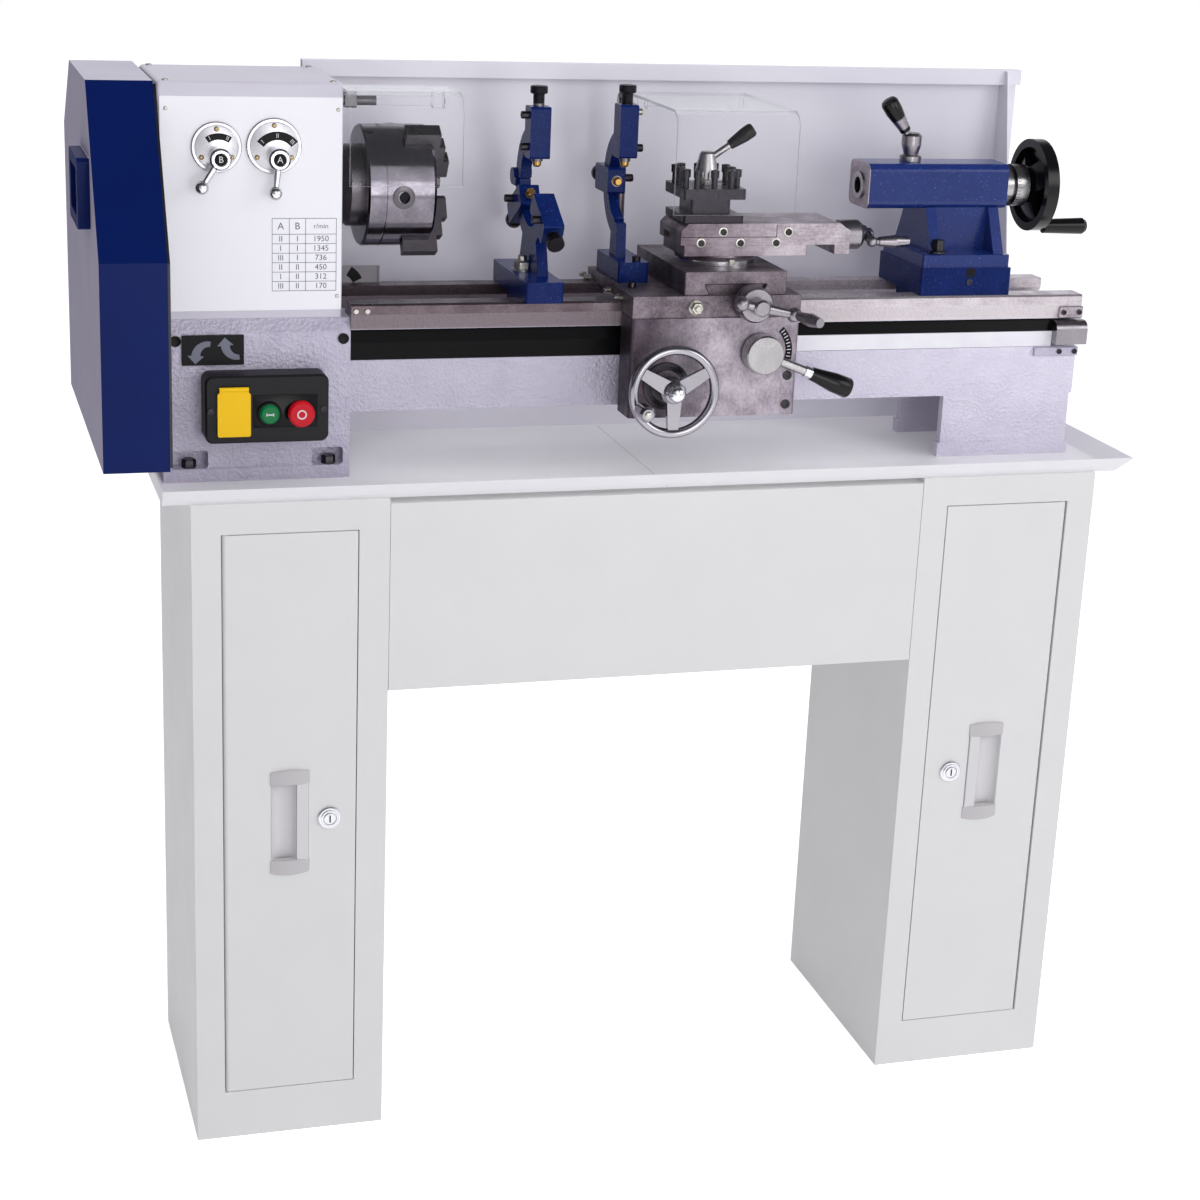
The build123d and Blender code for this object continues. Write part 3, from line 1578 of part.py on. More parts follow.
# Tailstock handwheel: dial, a broad rim on a dished web with three openings, grip and screw
rim_left, rim_right = 790.0, 804.0
tail_rim, rim_wall = 51.0, 9.0
web_left = 784.0
opening_inner, opening_half = 22.0, 35.0
grip_end = 858.0
with BuildPart() as tail_wheel:
    disc(across(rim_left), spindle_at, tail_rim, rim_right - rim_left)
    disc(across(rim_left - 1), spindle_at, tail_rim - rim_wall, rim_right - rim_left + 2, mode=Mode.SUBTRACT)
    inside = tail_rim - rim_wall + 1
    turned((web_left, 0, axis_z), (1, 0, 0), [(0, 13), (12, inside), (18, inside), (8, 13)])
    for spoke in (30, 150, 270):
        with BuildSketch(across(web_left - 1)) as opening:
            middle = spoke + 60
            far = tail_rim - rim_wall - 1
            outer_low, outer_high = around(far, middle - opening_half), around(far, middle + opening_half)
            inner_low = around(opening_inner, middle - opening_half / 2)
            inner_high = around(opening_inner, middle + opening_half / 2)
            with BuildLine():
                ThreePointArc(outer_low, around(far, middle), outer_high)
                Line(outer_high, inner_high)
                Line(inner_high, inner_low)
                Line(inner_low, outer_low)
            make_face()
        extrude(opening.sketch, amount=rim_right - web_left + 2, mode=Mode.SUBTRACT)
    turned(
        (700.0, 0, axis_z),
        (1, 0, 0),
        [
            (0, tail_screw),
            (barrel_right + 0.5 - 700, tail_screw),
            (barrel_right + 0.5 - 700, 19),
            (66, 19),
            (66, 23),
            (82, 23),
            (84, 15),
            (104, 13),
            (106, 10),
        ],
    )
    grip_radius = tail_rim - rim_wall / 2
    grip_angle = radians(252)
    turned(
        (rim_left + 2, grip_radius * cos(grip_angle), axis_z + grip_radius * sin(grip_angle)),
        (1, 0, 0),
        [
            (0, 3.5),
            (rim_right - rim_left, 3.5),
            (rim_right - rim_left, 8),
            (grip_end - 4 - rim_left - 2, 9.3),
            (grip_end - rim_left - 2, 7),
        ],
    )
write(tail_wheel, "tail_wheel")

# Quill clamp: a stepped cone with a slanting lever
with BuildPart() as quill_lock:
    lock_x, lock_y = clamp_at
    turned(
        (lock_x, lock_y, barrel_high - 8),
        (0, 0, 1),
        [(0, clamp_pin), (8.3, clamp_pin), (8.3, 12), (14, 12), (16, 8), (26, 11), (36, 11), (39, 8)],
    )
    toward = (-34, -6, 44)
    reach = Vector(toward).length
    turned(
        (lock_x, lock_y, barrel_high + 22),
        toward,
        [(0, 4), (reach - 40, 4), (reach - 40, 6), (reach - 14, 9.5), (reach - 3, 9.5), (reach, 7)],
    )
write(quill_lock, "quill_lock")
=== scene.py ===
"""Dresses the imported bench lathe: paint, machined iron, plates, dials, screws, light and camera."""
import bpy
import numpy as np
from mathutils import Matrix, Vector


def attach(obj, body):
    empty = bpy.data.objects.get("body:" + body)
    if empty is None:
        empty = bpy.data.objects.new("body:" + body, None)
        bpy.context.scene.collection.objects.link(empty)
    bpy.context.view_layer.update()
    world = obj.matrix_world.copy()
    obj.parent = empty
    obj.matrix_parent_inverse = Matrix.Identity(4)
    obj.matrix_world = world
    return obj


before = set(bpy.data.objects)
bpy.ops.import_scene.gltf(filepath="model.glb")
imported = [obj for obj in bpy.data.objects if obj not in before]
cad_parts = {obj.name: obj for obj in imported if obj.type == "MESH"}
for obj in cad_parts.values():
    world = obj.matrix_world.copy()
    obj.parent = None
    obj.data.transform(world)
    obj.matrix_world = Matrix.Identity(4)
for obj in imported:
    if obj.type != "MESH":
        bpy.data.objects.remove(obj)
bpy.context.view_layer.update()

# Stand: two folded sheet-steel cabinets, their doors and the panel between them.
# All of it is powder coated in one warm light grey, satin, with the fine
# orange-peel that powder leaves when it melts and flows.


def srgb(code):
    """Linear red, green, blue and 1 from an sRGB hex colour.

    Each part c gives ((c + 0.055) / 1.055) to the power 2.4, and a very dark one c / 12.92.
    """
    parts = np.array([int(code[i:i + 2], 16) for i in (1, 3, 5)]) / 255
    bent = np.where(parts <= 0.04045, parts / 12.92, ((parts + 0.055) / 1.055) ** 2.4)
    return (*bent.tolist(), 1.0)


def add(tree, kind, inputs=None, **settings):
    """Adds one shader node: inputs by name or number, settings by attribute.

    An input is a value, a socket to link, or a node, which stands for its first output in use.
    """
    made = tree.nodes.new("ShaderNode" + kind)
    for name, value in settings.items():
        setattr(made, name, value)
    for key, value in (inputs or {}).items():
        if isinstance(value, bpy.types.Node):
            value = next(socket for socket in value.outputs if socket.enabled)
        if isinstance(value, bpy.types.NodeSocket):
            tree.links.new(value, made.inputs[key])
        else:
            made.inputs[key].default_value = value
    return made


def finish_of(name):
    """A new material, its emptied tree, and Object coordinates."""
    made = bpy.data.materials.new(name)
    made.use_nodes = True
    tree = made.node_tree
    tree.nodes.clear()
    return made, tree, add(tree, "TexCoord").outputs["Object"]


def coat(nodes, material):
    """Puts one material on CAD nodes, in place of their packed one."""
    for name in nodes:
        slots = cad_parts[name].data.materials
        slots.clear()
        slots.append(material)


def powder_coat(name, code, rough=0.42):
    """Powder coat over sheet steel: 1.6 mm orange-peel and a faint 60 mm cloud of tone and gloss."""
    made, tree, place = finish_of(name)
    cloud = add(tree, "TexNoise", {"Vector": place, "Scale": 1 / 0.06, "Detail": 3.0})
    darker = tuple(0.95 * part for part in srgb(code)[:3]) + (1.0,)
    tone = add(tree, "Mix", {0: cloud, 6: srgb(code), 7: darker}, data_type="RGBA")
    gloss = add(tree, "MapRange", {0: cloud, 3: rough - 0.05, 4: rough + 0.05})
    peel = add(tree, "TexNoise", {"Vector": place, "Scale": 1 / 0.0016, "Detail": 1.0})
    bump = add(tree, "Bump", {"Height": peel, "Strength": 0.06, "Distance": 0.0004})
    skin = add(tree, "BsdfPrincipled", {"Base Color": tone, "Roughness": gloss, "Normal": bump, "IOR": 1.5})
    add(tree, "OutputMaterial", {0: skin})
    return made


stand_grey = powder_coat("powder_coat_light_grey", "#DCDCDC")
coat(("left_cabinet", "right_cabinet", "front_panel", "left_door", "right_door"), stand_grey)

# Door pulls: a pressed trough let into each door, with a grip strip down one side,
# closed above and below by moulded end caps that bulge out of the door.
# Satin silver plastic over pressed metal. All sizes below are millimetres.
front, upward, leftward, rightward = (0, -1, 0), (0, 0, 1), (-1, 0, 0), (1, 0, 0)


def grid(points, wrap=False):
    """Vertices and faces of a surface: rows by columns of points joined in quads.

    wrap joins the last column to the first, and closes the first and last rows.
    """
    rows, cols = points.shape[:2]
    row, col = np.meshgrid(np.arange(rows - 1), np.arange(cols if wrap else cols - 1), indexing="ij")
    after = (col + 1) % cols
    corners = (row * cols + col, row * cols + after, (row + 1) * cols + after, (row + 1) * cols + col)
    faces = np.stack(corners, -1).reshape(-1, 4).tolist()
    if wrap:
        faces.append(np.arange(cols)[::-1].tolist())
        faces.append(np.arange((rows - 1) * cols, rows * cols).tolist())
    return points.reshape(-1, 3), faces


def piece(name, parts, body, material, bend=35):
    """One object of several surfaces in millimetres, on a body; edges bent less than bend look smooth."""
    start = np.cumsum([0] + [len(points) for points, _ in parts])
    points = np.concatenate([points for points, _ in parts]) * 0.001
    faces = [[int(i + shift) for i in face] for (_, faces), shift in zip(parts, start) for face in faces]
    mesh = bpy.data.meshes.new(name)
    mesh.from_pydata(points.tolist(), [], faces)
    mesh.polygons.foreach_set("use_smooth", np.ones(len(faces), bool))
    mesh.set_sharp_from_angle(angle=np.radians(bend))
    mesh.materials.append(material)
    made = bpy.data.objects.new(name, mesh)
    bpy.context.scene.collection.objects.link(made)
    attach(made, body)


def across_axis(axis):
    """Two unit vectors u and v square to an axis w, with u turned to v about w, and w itself."""
    w = np.asarray(axis, float) / np.linalg.norm(axis)
    u = np.cross(upward, w) if abs(w[2]) < 0.9 else np.cross((0, 1, 0), w)
    u = u / np.linalg.norm(u)
    return u, np.cross(w, u), w


def turned(profile, centre, axis, steps=32):
    """Surface of revolution: each profile row (radius, height) is a circle of that radius at that height."""
    u, v, w = across_axis(axis)
    turn = np.arange(steps) * 2 * np.pi / steps
    ring = np.cos(turn)[:, None] * u + np.sin(turn)[:, None] * v
    rows = np.asarray(profile, float)
    return grid(np.asarray(centre, float) + rows[:, 0, None, None] * ring + rows[:, 1, None, None] * w, True)


def raised(outline, levels, centre, axis=front, right=rightward):
    """A flat outline carried up an axis: at each level (inset, height) it is drawn in along its normals."""
    w, u = np.asarray(axis, float), np.asarray(right, float)
    run = np.roll(outline, -1, 0) - np.roll(outline, 1, 0)
    normal = np.stack([run[:, 1], -run[:, 0]], 1) / np.linalg.norm(run, axis=1)[:, None]
    flat = np.stack([outline - inset * normal for inset, _ in levels])
    lift = np.asarray([height for _, height in levels])[:, None, None] * w
    return grid(np.asarray(centre, float) + flat[..., :1] * u + flat[..., 1:] * np.cross(w, u) + lift, True)


def plate(size, levels, centre, axis=front, right=rightward):
    """A raised rectangle: size holds its width, height and the radius of its quarter-circle corners."""
    width, height, radius = size
    steps = 6
    quarter = np.linspace(0, np.pi / 2, steps)
    turn = np.concatenate([quarter + k * np.pi / 2 for k in range(4)])
    corner = np.repeat([(1, 1), (-1, 1), (-1, -1), (1, -1)], steps, axis=0)
    inner = corner * (width / 2 - radius, height / 2 - radius)
    return raised(inner + radius * np.stack([np.cos(turn), np.sin(turn)], 1), levels, centre, axis, right)


def satin_plastic(name, code, rough=0.38, shine=0.5):
    """Moulded ABS: one colour, fine spark-eroded grain of about 0.5 mm drawn at 1 mm so that it shows."""
    made, tree, place = finish_of(name)
    grain = add(tree, "TexNoise", {"Vector": place, "Scale": 1 / 0.001, "Detail": 2.0})
    gloss = add(tree, "MapRange", {0: grain, 3: rough - 0.06, 4: rough + 0.06})
    bump = add(tree, "Bump", {"Height": grain, "Strength": 0.12, "Distance": 0.0003})
    skin = add(tree, "BsdfPrincipled", {
        "Base Color": srgb(code), "Roughness": gloss, "Normal": bump, "IOR": 1.49,
        "Specular IOR Level": shine})
    add(tree, "OutputMaterial", {0: skin})
    return made


cap_silver = satin_plastic("moulded_silver_abs", "#BCB9BB", 0.34)
trough_silver = satin_plastic("moulded_pale_abs", "#D2D0D2", 0.3)
pull_low, pull_high, pull_half, door_face = 312.0, 424.0, 19.8, -141.0
cap_high, cap_lap, cap_arc, cap_edge = 13, 1.5, 2.0, 0.8
trough_half, trough_deep, trough_wall, trough_off, trough_lap = 12.5, 9.6, 0.6, 6.5, 12
strip_wide, strip_off = 12.6, 13.2
across = np.linspace(-1, 1, 17)
bow = 1 - across ** 2
for side, pull_x, grip in (("left", -67.0, 1), ("right", 732.0, -1)):
    # Caps: bars whose outer end follows a shallow arc, and whose face bulges as a parabola across the door
    x = pull_x + across * (pull_half + 1)
    back, bulge = np.full_like(x, door_face + 6), door_face - 1.2 - 3.0 * bow
    caps = []
    for low, high, arc_up, arc_down in ((pull_high - cap_high, pull_high + cap_lap, cap_arc, 0.0),
                                        (pull_low - cap_lap, pull_low + cap_high, 0.0, cap_arc)):
        top, bottom = high + arc_up * bow, low - arc_down * bow
        rows = [(x, back, bottom), (x, bulge + cap_edge, bottom), (x, bulge, bottom + cap_edge),
                (x, bulge, top - cap_edge), (x, bulge + cap_edge, top), (x, back, top)]
        caps.append(grid(np.stack([np.stack(row, 1) for row in rows], 1), True))
    piece(f"{side}_pull_caps", caps, f"{side}_door", cap_silver)
    # Trough: half a cylinder's wall behind the door's face, an inner arc out and an outer arc back
    half_turn = np.linspace(0, np.pi, 15)
    turn = np.concatenate([half_turn, half_turn[::-1]])
    wall = np.repeat((0.0, trough_wall), len(half_turn))
    arc_x = pull_x - grip * trough_off + (trough_half + wall) * np.cos(turn)
    arc_y = door_face + 0.4 + (trough_deep + wall) * np.sin(turn)
    low, high = pull_low + trough_lap, pull_high - trough_lap
    ends = [np.stack([arc_x, arc_y, np.full_like(arc_x, z)], 1) for z in (low, high)]
    strip = plate((strip_wide, high - low, 1.0), ((0, 0), (0, 2.6), (0.6, 3.2)),
                  (pull_x + grip * strip_off, door_face + 1.2, (low + high) / 2))
    piece(f"{side}_pull_trough", [grid(np.stack(ends)[:, ::-1], True), strip], f"{side}_door", trough_silver)

# Cam locks: a brass barrel through each door, plated in satin nickel, with a dark keyway in its face.
# The plating is slightly soft where keys have rubbed it.


def plated(name, code, rough):
    """Polished plating: metal with hair scratches about 0.6 mm apart in gloss, and a slow 20 mm cloud."""
    made, tree, place = finish_of(name)
    long_way = add(tree, "Mapping", {"Vector": place, "Scale": (1.0, 1.0, 0.12)})
    hair = add(tree, "TexNoise", {"Vector": long_way, "Scale": 1 / 0.0006, "Detail": 2.0})
    cloud = add(tree, "TexNoise", {"Vector": place, "Scale": 1 / 0.02, "Detail": 2.0})
    both = add(tree, "Math", {0: hair, 1: cloud}, operation="MULTIPLY")
    gloss = add(tree, "MapRange", {0: both, 1: 0.1, 2: 0.45, 3: rough * 0.6, 4: rough * 1.5})
    bump = add(tree, "Bump", {"Height": hair, "Strength": 0.03, "Distance": 0.0003})
    skin = add(tree, "BsdfPrincipled", {
        "Base Color": srgb(code), "Metallic": 1.0, "Roughness": gloss, "Normal": bump})
    add(tree, "OutputMaterial", {0: skin})
    return made


chrome = plated("chrome_plate", "#D6D6DA", 0.14)
nickel = plated("satin_nickel_plate", "#D2D2D6", 0.34)
coat(("left_lock", "right_lock"), nickel)
lock_face, lock_z = -144.0, 370.0
for side, lock_x in (("left", -25.0), ("right", 691.0)):
    face = (lock_x, lock_face, lock_z)
    rim = turned([(9.6, -0.3), (9.6, 0.6), (9.0, 1.1), (7.4, 1.1), (7.0, 0.7), (6.8, -0.2)], face, front)
    plug = turned([(6.2, -0.3), (6.2, 1.2), (5.8, 1.6)], face, front)
    piece(f"{side}_lock_face", [rim, plug], f"{side}_lock", nickel)
    key = plate((8.0, 1.6, 0.5), ((0, 0), (0, 0.4)), (lock_x, lock_face - 1.5, lock_z), front, upward)
    keyway = satin_plastic(f"{side}_dark_keyway", "#2A2A2C", 0.6)
    piece(f"{side}_keyway", [key], f"{side}_lock", keyway)

# Chip tray and splash guard: folded sheet steel in the stand's powder coat, a touch cooler. The tray's grey
# is lighter still, painted light for what the bed shades from it.
# The tray is two pressings butted near the middle; the guard is bent over along its top.
deck = 0.721
base_z = deck * 1000
scribed = ((0, -0.2), (0, 0.06))
# the tray's lighter grey is painted light for the shade under the bed
tray_painted_light_grey = powder_coat("powder_coat_tray_painted_lighter", "#EDECEF")
splash_grey = powder_coat("powder_coat_splash_guard", "#E8E6EF", rough=0.3)
coat(("chip_tray",), tray_painted_light_grey)
coat(("splash_guard",), splash_grey)
seam = plate((0.9, 266.0, 0.2), scribed, (333.5, -8.0, base_z), upward)
piece("tray_seam", [seam], "machine", satin_plastic("seam_filler", "#B9B8BC", 0.5))

# Bed: one grey-iron casting. Its walls and foot are sprayed in hammered silver, its ways are
# ground bright along their length, and the flat under the way is pale. All three darken towards the chuck,
# painted shade as well as old oil.


def hammered(tree, place, code, dark, dimple_width=0.0034):
    """Hammer-finish enamel as a Principled's inputs: leafing silver with round dimples about 3 mm wide."""
    dimple = add(tree, "TexVoronoi", {"Vector": place, "Scale": 1 / dimple_width, "Smoothness": 0.7},
                 feature="SMOOTH_F1")
    cloud = add(tree, "TexNoise", {"Vector": place, "Scale": 1 / 0.03, "Detail": 4.0})
    tone = add(tree, "Mix", {0: cloud, 6: srgb(dark), 7: srgb(code)}, data_type="RGBA")
    fine = add(tree, "TexNoise", {"Vector": place, "Scale": 1 / 0.0016, "Detail": 2.0})
    height = add(tree, "Math", {0: dimple, 1: fine}, operation="ADD")
    bump = add(tree, "Bump", {"Height": height, "Strength": 0.55, "Distance": 0.0014})
    gloss = add(tree, "MapRange", {0: cloud, 3: 0.3, 4: 0.42})
    return {"Base Color": tone, "Metallic": 0.25, "Roughness": gloss, "Normal": bump}


def ground(tree, place, code, dark, run, rough=0.3, lined=0.3):
    """Ground or milled iron as a Principled's inputs: 0.8 mm tool lines and 3 mm grit over 25 mm oil stains.

    run is the Mapping scale that draws the lines out, small along the cut, and lined their weight in tone.
    """
    drawn = add(tree, "Mapping", {"Vector": place, "Scale": run})
    lines = add(tree, "TexNoise", {"Vector": drawn, "Scale": 1 / 0.0008, "Detail": 3.0})
    stain = add(tree, "TexNoise", {"Vector": place, "Scale": 1 / 0.025, "Detail": 5.0})
    grit = add(tree, "TexNoise", {"Vector": place, "Scale": 1 / 0.003, "Detail": 4.0})
    worn = add(tree, "Math", {0: grit, 1: 0.5, 2: stain}, operation="MULTIPLY_ADD")
    both = add(tree, "Math", {0: lines, 1: lined, 2: worn}, operation="MULTIPLY_ADD")
    middle = 0.75 + lined / 2
    clear = add(tree, "MapRange", {0: both, 1: middle - 0.25, 2: middle + 0.25})
    tone = add(tree, "Mix", {0: clear, 6: srgb(dark), 7: srgb(code)}, data_type="RGBA")
    gloss = add(tree, "MapRange", {0: clear, 3: rough + 0.12, 4: rough - 0.06})
    bump = add(tree, "Bump", {"Height": lines, "Strength": 0.1, "Distance": 0.0004})
    return {"Base Color": tone, "Metallic": 0.75, "Roughness": gloss, "Normal": bump}


def cut_at(tree, place, part, level, width=0.0004):
    """0 below a level of one coordinate, 0 for x to 2 for z, and 1 above it, with a short ramp between."""
    split = add(tree, "SeparateXYZ", {0: place})
    return add(tree, "MapRange", {0: split.outputs[part], 1: level - width, 2: level + width})


def blended(tree, cut, low, high):
    """One skin's inputs where cut is 0 and another's where it is 1, each pair mixed in line."""
    colour = add(tree, "Mix", {0: cut, 6: low["Base Color"], 7: high["Base Color"]}, data_type="RGBA")
    normal = add(tree, "Mix", {0: cut, 4: low["Normal"], 5: high["Normal"]}, data_type="VECTOR")
    both = {"Base Color": colour, "Normal": normal}
    for name in ("Metallic", "Roughness"):
        both[name] = add(tree, "Mix", {0: cut, 2: low[name], 3: high[name]})
    return both


def shaded_and_oiled(tree, place, colour, start, end, code):
    """A colour darkened towards the headstock, painted shade as well as old oil: times code left of start,
    itself right of end.
    """
    rise = cut_at(tree, place, 0, (start + end) / 2, (end - start) / 2)
    shade_and_oil_film = add(tree, "Mix", {0: rise, 6: srgb(code), 7: srgb("#FFFFFF")}, data_type="RGBA")
    return add(tree, "Mix", {0: 1.0, 6: colour, 7: shade_and_oil_film}, data_type="RGBA", blend_type="MULTIPLY")


bed_iron, tree, place = finish_of("ground_iron_and_hammered_paint")
shade_start, shade_end, flat_low, way_low = 0.25, 0.62, deck + 0.1565, deck + 0.172
paint = hammered(tree, place, "#DCD7E6", "#C4BED0")
paint["Base Color"] = shaded_and_oiled(tree, place, paint["Base Color"], shade_start, 0.75, "#DBDADD")
bright = ground(tree, place, "#DAD2D7", "#A99FA5", (0.04, 1.0, 1.0), 0.28, 0.5)
bright["Base Color"] = shaded_and_oiled(tree, place, bright["Base Color"], shade_start, shade_end, "#70666A")
filler = {"Base Color": shaded_and_oiled(tree, place, srgb("#DBD3D6"), shade_start, shade_end, "#968C91"),
          "Metallic": 0.0, "Roughness": 0.5, "Normal": paint["Normal"]}
lower = blended(tree, cut_at(tree, place, 2, flat_low), paint, filler)
whole = blended(tree, cut_at(tree, place, 2, way_low), lower, bright)
skin = add(tree, "BsdfPrincipled", whole)
add(tree, "OutputMaterial", {0: skin})
coat(("bed",), bed_iron)
dull_zinc = plated("dull_zinc_plate", "#A9A49F", 0.4)
way_screws = [turned([(3.0, -0.6), (3.0, 0.5), (2.4, 1.0), (0.4, 1.0)], (x, -65.0, base_z + 175.6), front, 20)
              for x in (13.0, 25.0)]
piece("way_screws", way_screws, "machine", dull_zinc)

# Headstock: a cast base in hammered silver bolted to the tray, the gear housing on it in smoother
# silver-grey, and a flat cover with a screw near each corner.
base_paint, tree, place = finish_of("hammered_silver_enamel")
skin = add(tree, "BsdfPrincipled", hammered(tree, place, "#C2BDCD", "#A29CB0", 0.004))
add(tree, "OutputMaterial", {0: skin})
coat(("headstock_base",), base_paint)
housing_grey = powder_coat("smooth_silver_enamel", "#CCC8D5", rough=0.34)
coat(("headstock_housing", "headstock_cover"), housing_grey)


def domed_screw(centre, axis, radius):
    """A pan-head screw: a low dome, r = R cos a and h = 0.45 R sin a, on a short shank."""
    lean = np.linspace(0, 0.47 * np.pi, 6)
    dome = [(radius, -1.0)] + [(radius * np.cos(a), 0.45 * radius * np.sin(a)) for a in lean]
    return turned(dome, centre, axis, 20)


def socket_screw(centre, axis, radius, height):
    """A socket cap screw: a short cylinder with a broken edge, its top sunk to a round socket's floor."""
    sunk = 0.55 * radius
    return turned([(radius, -0.5), (radius, 0.88 * height), (0.9 * radius, height), (sunk, height),
                   (sunk, 0.35 * height), (0.02, 0.3 * height)], centre, axis, 24)


def hex_nut(centre, axis, across, height):
    """A hexagon nut: six corners at across / sqrt 3, with a bevel round its top."""
    turn = np.radians(np.arange(0, 360, 60))
    u, _, w = across_axis(axis)
    corners = across / np.sqrt(3) * np.stack([np.cos(turn), np.sin(turn)], 1)
    return raised(corners, ((0, -0.5), (0, 0.8 * height), (0.1 * across, height)), centre, w, u)


zinc = plated("zinc_plate", "#B9B6AE", 0.3)
black_oxide = plated("black_oxide_steel", "#3A383C", 0.36)
housing_front, cover_top = -55.0, 1126.0
cover_screws = [socket_screw((x, y, cover_top), upward, 3.2, 1.2)
                for x in (-176.0, -9.0) for y in (-46.0, 101.0)]
piece("cover_screws", cover_screws, "machine", zinc)
foot_bolts = [hex_nut((x, -54.5, base_z + 14), upward, 13.0, 9.0) for x in (-158.0, -13.0)]
piece("base_foot_bolts", foot_bolts, "machine", black_oxide)

# Front plate: a thin printed aluminium plate, white, with the speed table in grey and
# small rivets near its corners.
plate_white = satin_plastic("printed_white_plate", "#F1F0F6", 0.3)
plate_x, plate_z = (-183.0, -1.2), (base_z + 176.5, base_z + 390.5)
plate_centre = (sum(plate_x) / 2, housing_front + 0.2, sum(plate_z) / 2)
sheet = plate((plate_x[1] - plate_x[0], plate_z[1] - plate_z[0], 1.5), ((0, 0), (0, 1.0), (0.2, 1.2)),
              plate_centre)
piece("front_plate", [sheet], "machine", plate_white)
plate_face = housing_front - 1.0
rivets = [domed_screw((x, plate_face, z), front, 2.1)
          for x in (-5.5, -177.0) for z in (plate_z[0] + 14, plate_z[1] - 12)]
piece("plate_rivets", rivets, "machine", zinc)

# Speed table: printed on the front plate in dark grey ink, with lines 0.5 mm wide. The lever positions
# stand in two columns and the turns a minute in the third.
ink = satin_plastic("dark_grey_print", "#47464C", 0.5)
print_level, print_depth, half_line = plate_face - 0.02, 0.12, 0.25
printed = ((0, -0.2), (0, print_depth))


def bar(x0, x1, z0, z1):
    """A printed bar: a flat rectangle on the plate."""
    corners = np.array([(x1 - x0, z1 - z0), (x0 - x1, z1 - z0), (x0 - x1, z0 - z1), (x1 - x0, z0 - z1)]) / 2
    return raised(corners, printed, ((x0 + x1) / 2, print_level, (z0 + z1) / 2))


def letters(text, size, centre, right=rightward):
    """Words as a mesh: a font curve filled flat, as deep as print, centred on a point, facing front."""
    curve = bpy.data.curves.new("words", "FONT")
    curve.body = text
    curve.size = size
    curve.align_x = "CENTER"
    curve.align_y = "CENTER"
    curve.extrude = print_depth / 2
    curve.resolution_u = 3
    made = bpy.data.objects.new("words", curve)
    bpy.context.scene.collection.objects.link(made)
    bpy.context.view_layer.update()
    mesh = bpy.data.meshes.new_from_object(made.evaluated_get(bpy.context.evaluated_depsgraph_get()))
    flat = np.empty(len(mesh.vertices) * 3)
    mesh.vertices.foreach_get("co", flat)
    faces = [list(polygon.vertices) for polygon in mesh.polygons]
    bpy.data.objects.remove(made)
    bpy.data.curves.remove(curve)
    bpy.data.meshes.remove(mesh)
    w, u = np.asarray(front, float), np.asarray(right, float)
    flat = flat.reshape(-1, 3)
    points = np.asarray(centre, float) + flat[:, :1] * u + flat[:, 1:2] * np.cross(w, u) + flat[:, 2:] * w
    return points, faces


table_x = (-72.0, -54.6, -38.0, -6.6)
table_top, head, row = base_z + 270.0, 16.0, 9.6
speeds = (("II", "I", "1950"), ("I", "I", "1345"), ("III", "I", "736"),
          ("II", "II", "450"), ("I", "II", "312"), ("III", "II", "170"))
row_tops = [table_top - head - row * k for k in range(len(speeds) + 1)]
table_low = row_tops[-1]
lines = [bar(table_x[0], table_x[3], z - half_line, z + half_line) for z in [table_top] + row_tops]
lines += [bar(x - half_line, x + half_line, table_low, table_top) for x in table_x]
columns = [(a + b) / 2 for a, b in zip(table_x, table_x[1:])]
words = [letters(text, size, (x, print_level, table_top - head / 2))
         for x, text, size in zip(columns, ("A", "B", "r/min"), (10.0, 10.0, 7.0))]
for k, cells in enumerate(speeds):
    middle = table_top - head - row * (k + 0.5)
    words += [letters(text, 8.2, (x, print_level, middle)) for x, text in zip(columns, cells)]
piece("speed_table", lines + words, "machine", ink, 20)

# Range dials: turned aluminium plates screwed to the housing, each with an etched black sector and its
# step numbers. The chromed levers in front of them carry a black letter button in the hub's face.
dial_alloy = plated("turned_aluminium", "#BDBBC0", 0.3)
etched = satin_plastic("etched_black", "#0D0C0F", 0.4, 0.15)
pale_mark = satin_plastic("pale_mark", "#D8D7DC", 0.5)
brass = plated("turned_brass", "#A08C66", 0.34)
coat(("lever_a", "lever_b"), chrome)


def sector(centre, inner, outer, start, end, low, high):
    """A ring sector facing the front: radius from inner to outer, angle from start to end in degrees."""
    turn = np.radians(np.linspace(start, end, 25))
    rim = np.concatenate([outer * np.stack([np.cos(turn), np.sin(turn)], 1),
                          inner * np.stack([np.cos(turn[::-1]), np.sin(turn[::-1])], 1)])
    return raised(rim, ((0, low), (0, high)), centre)


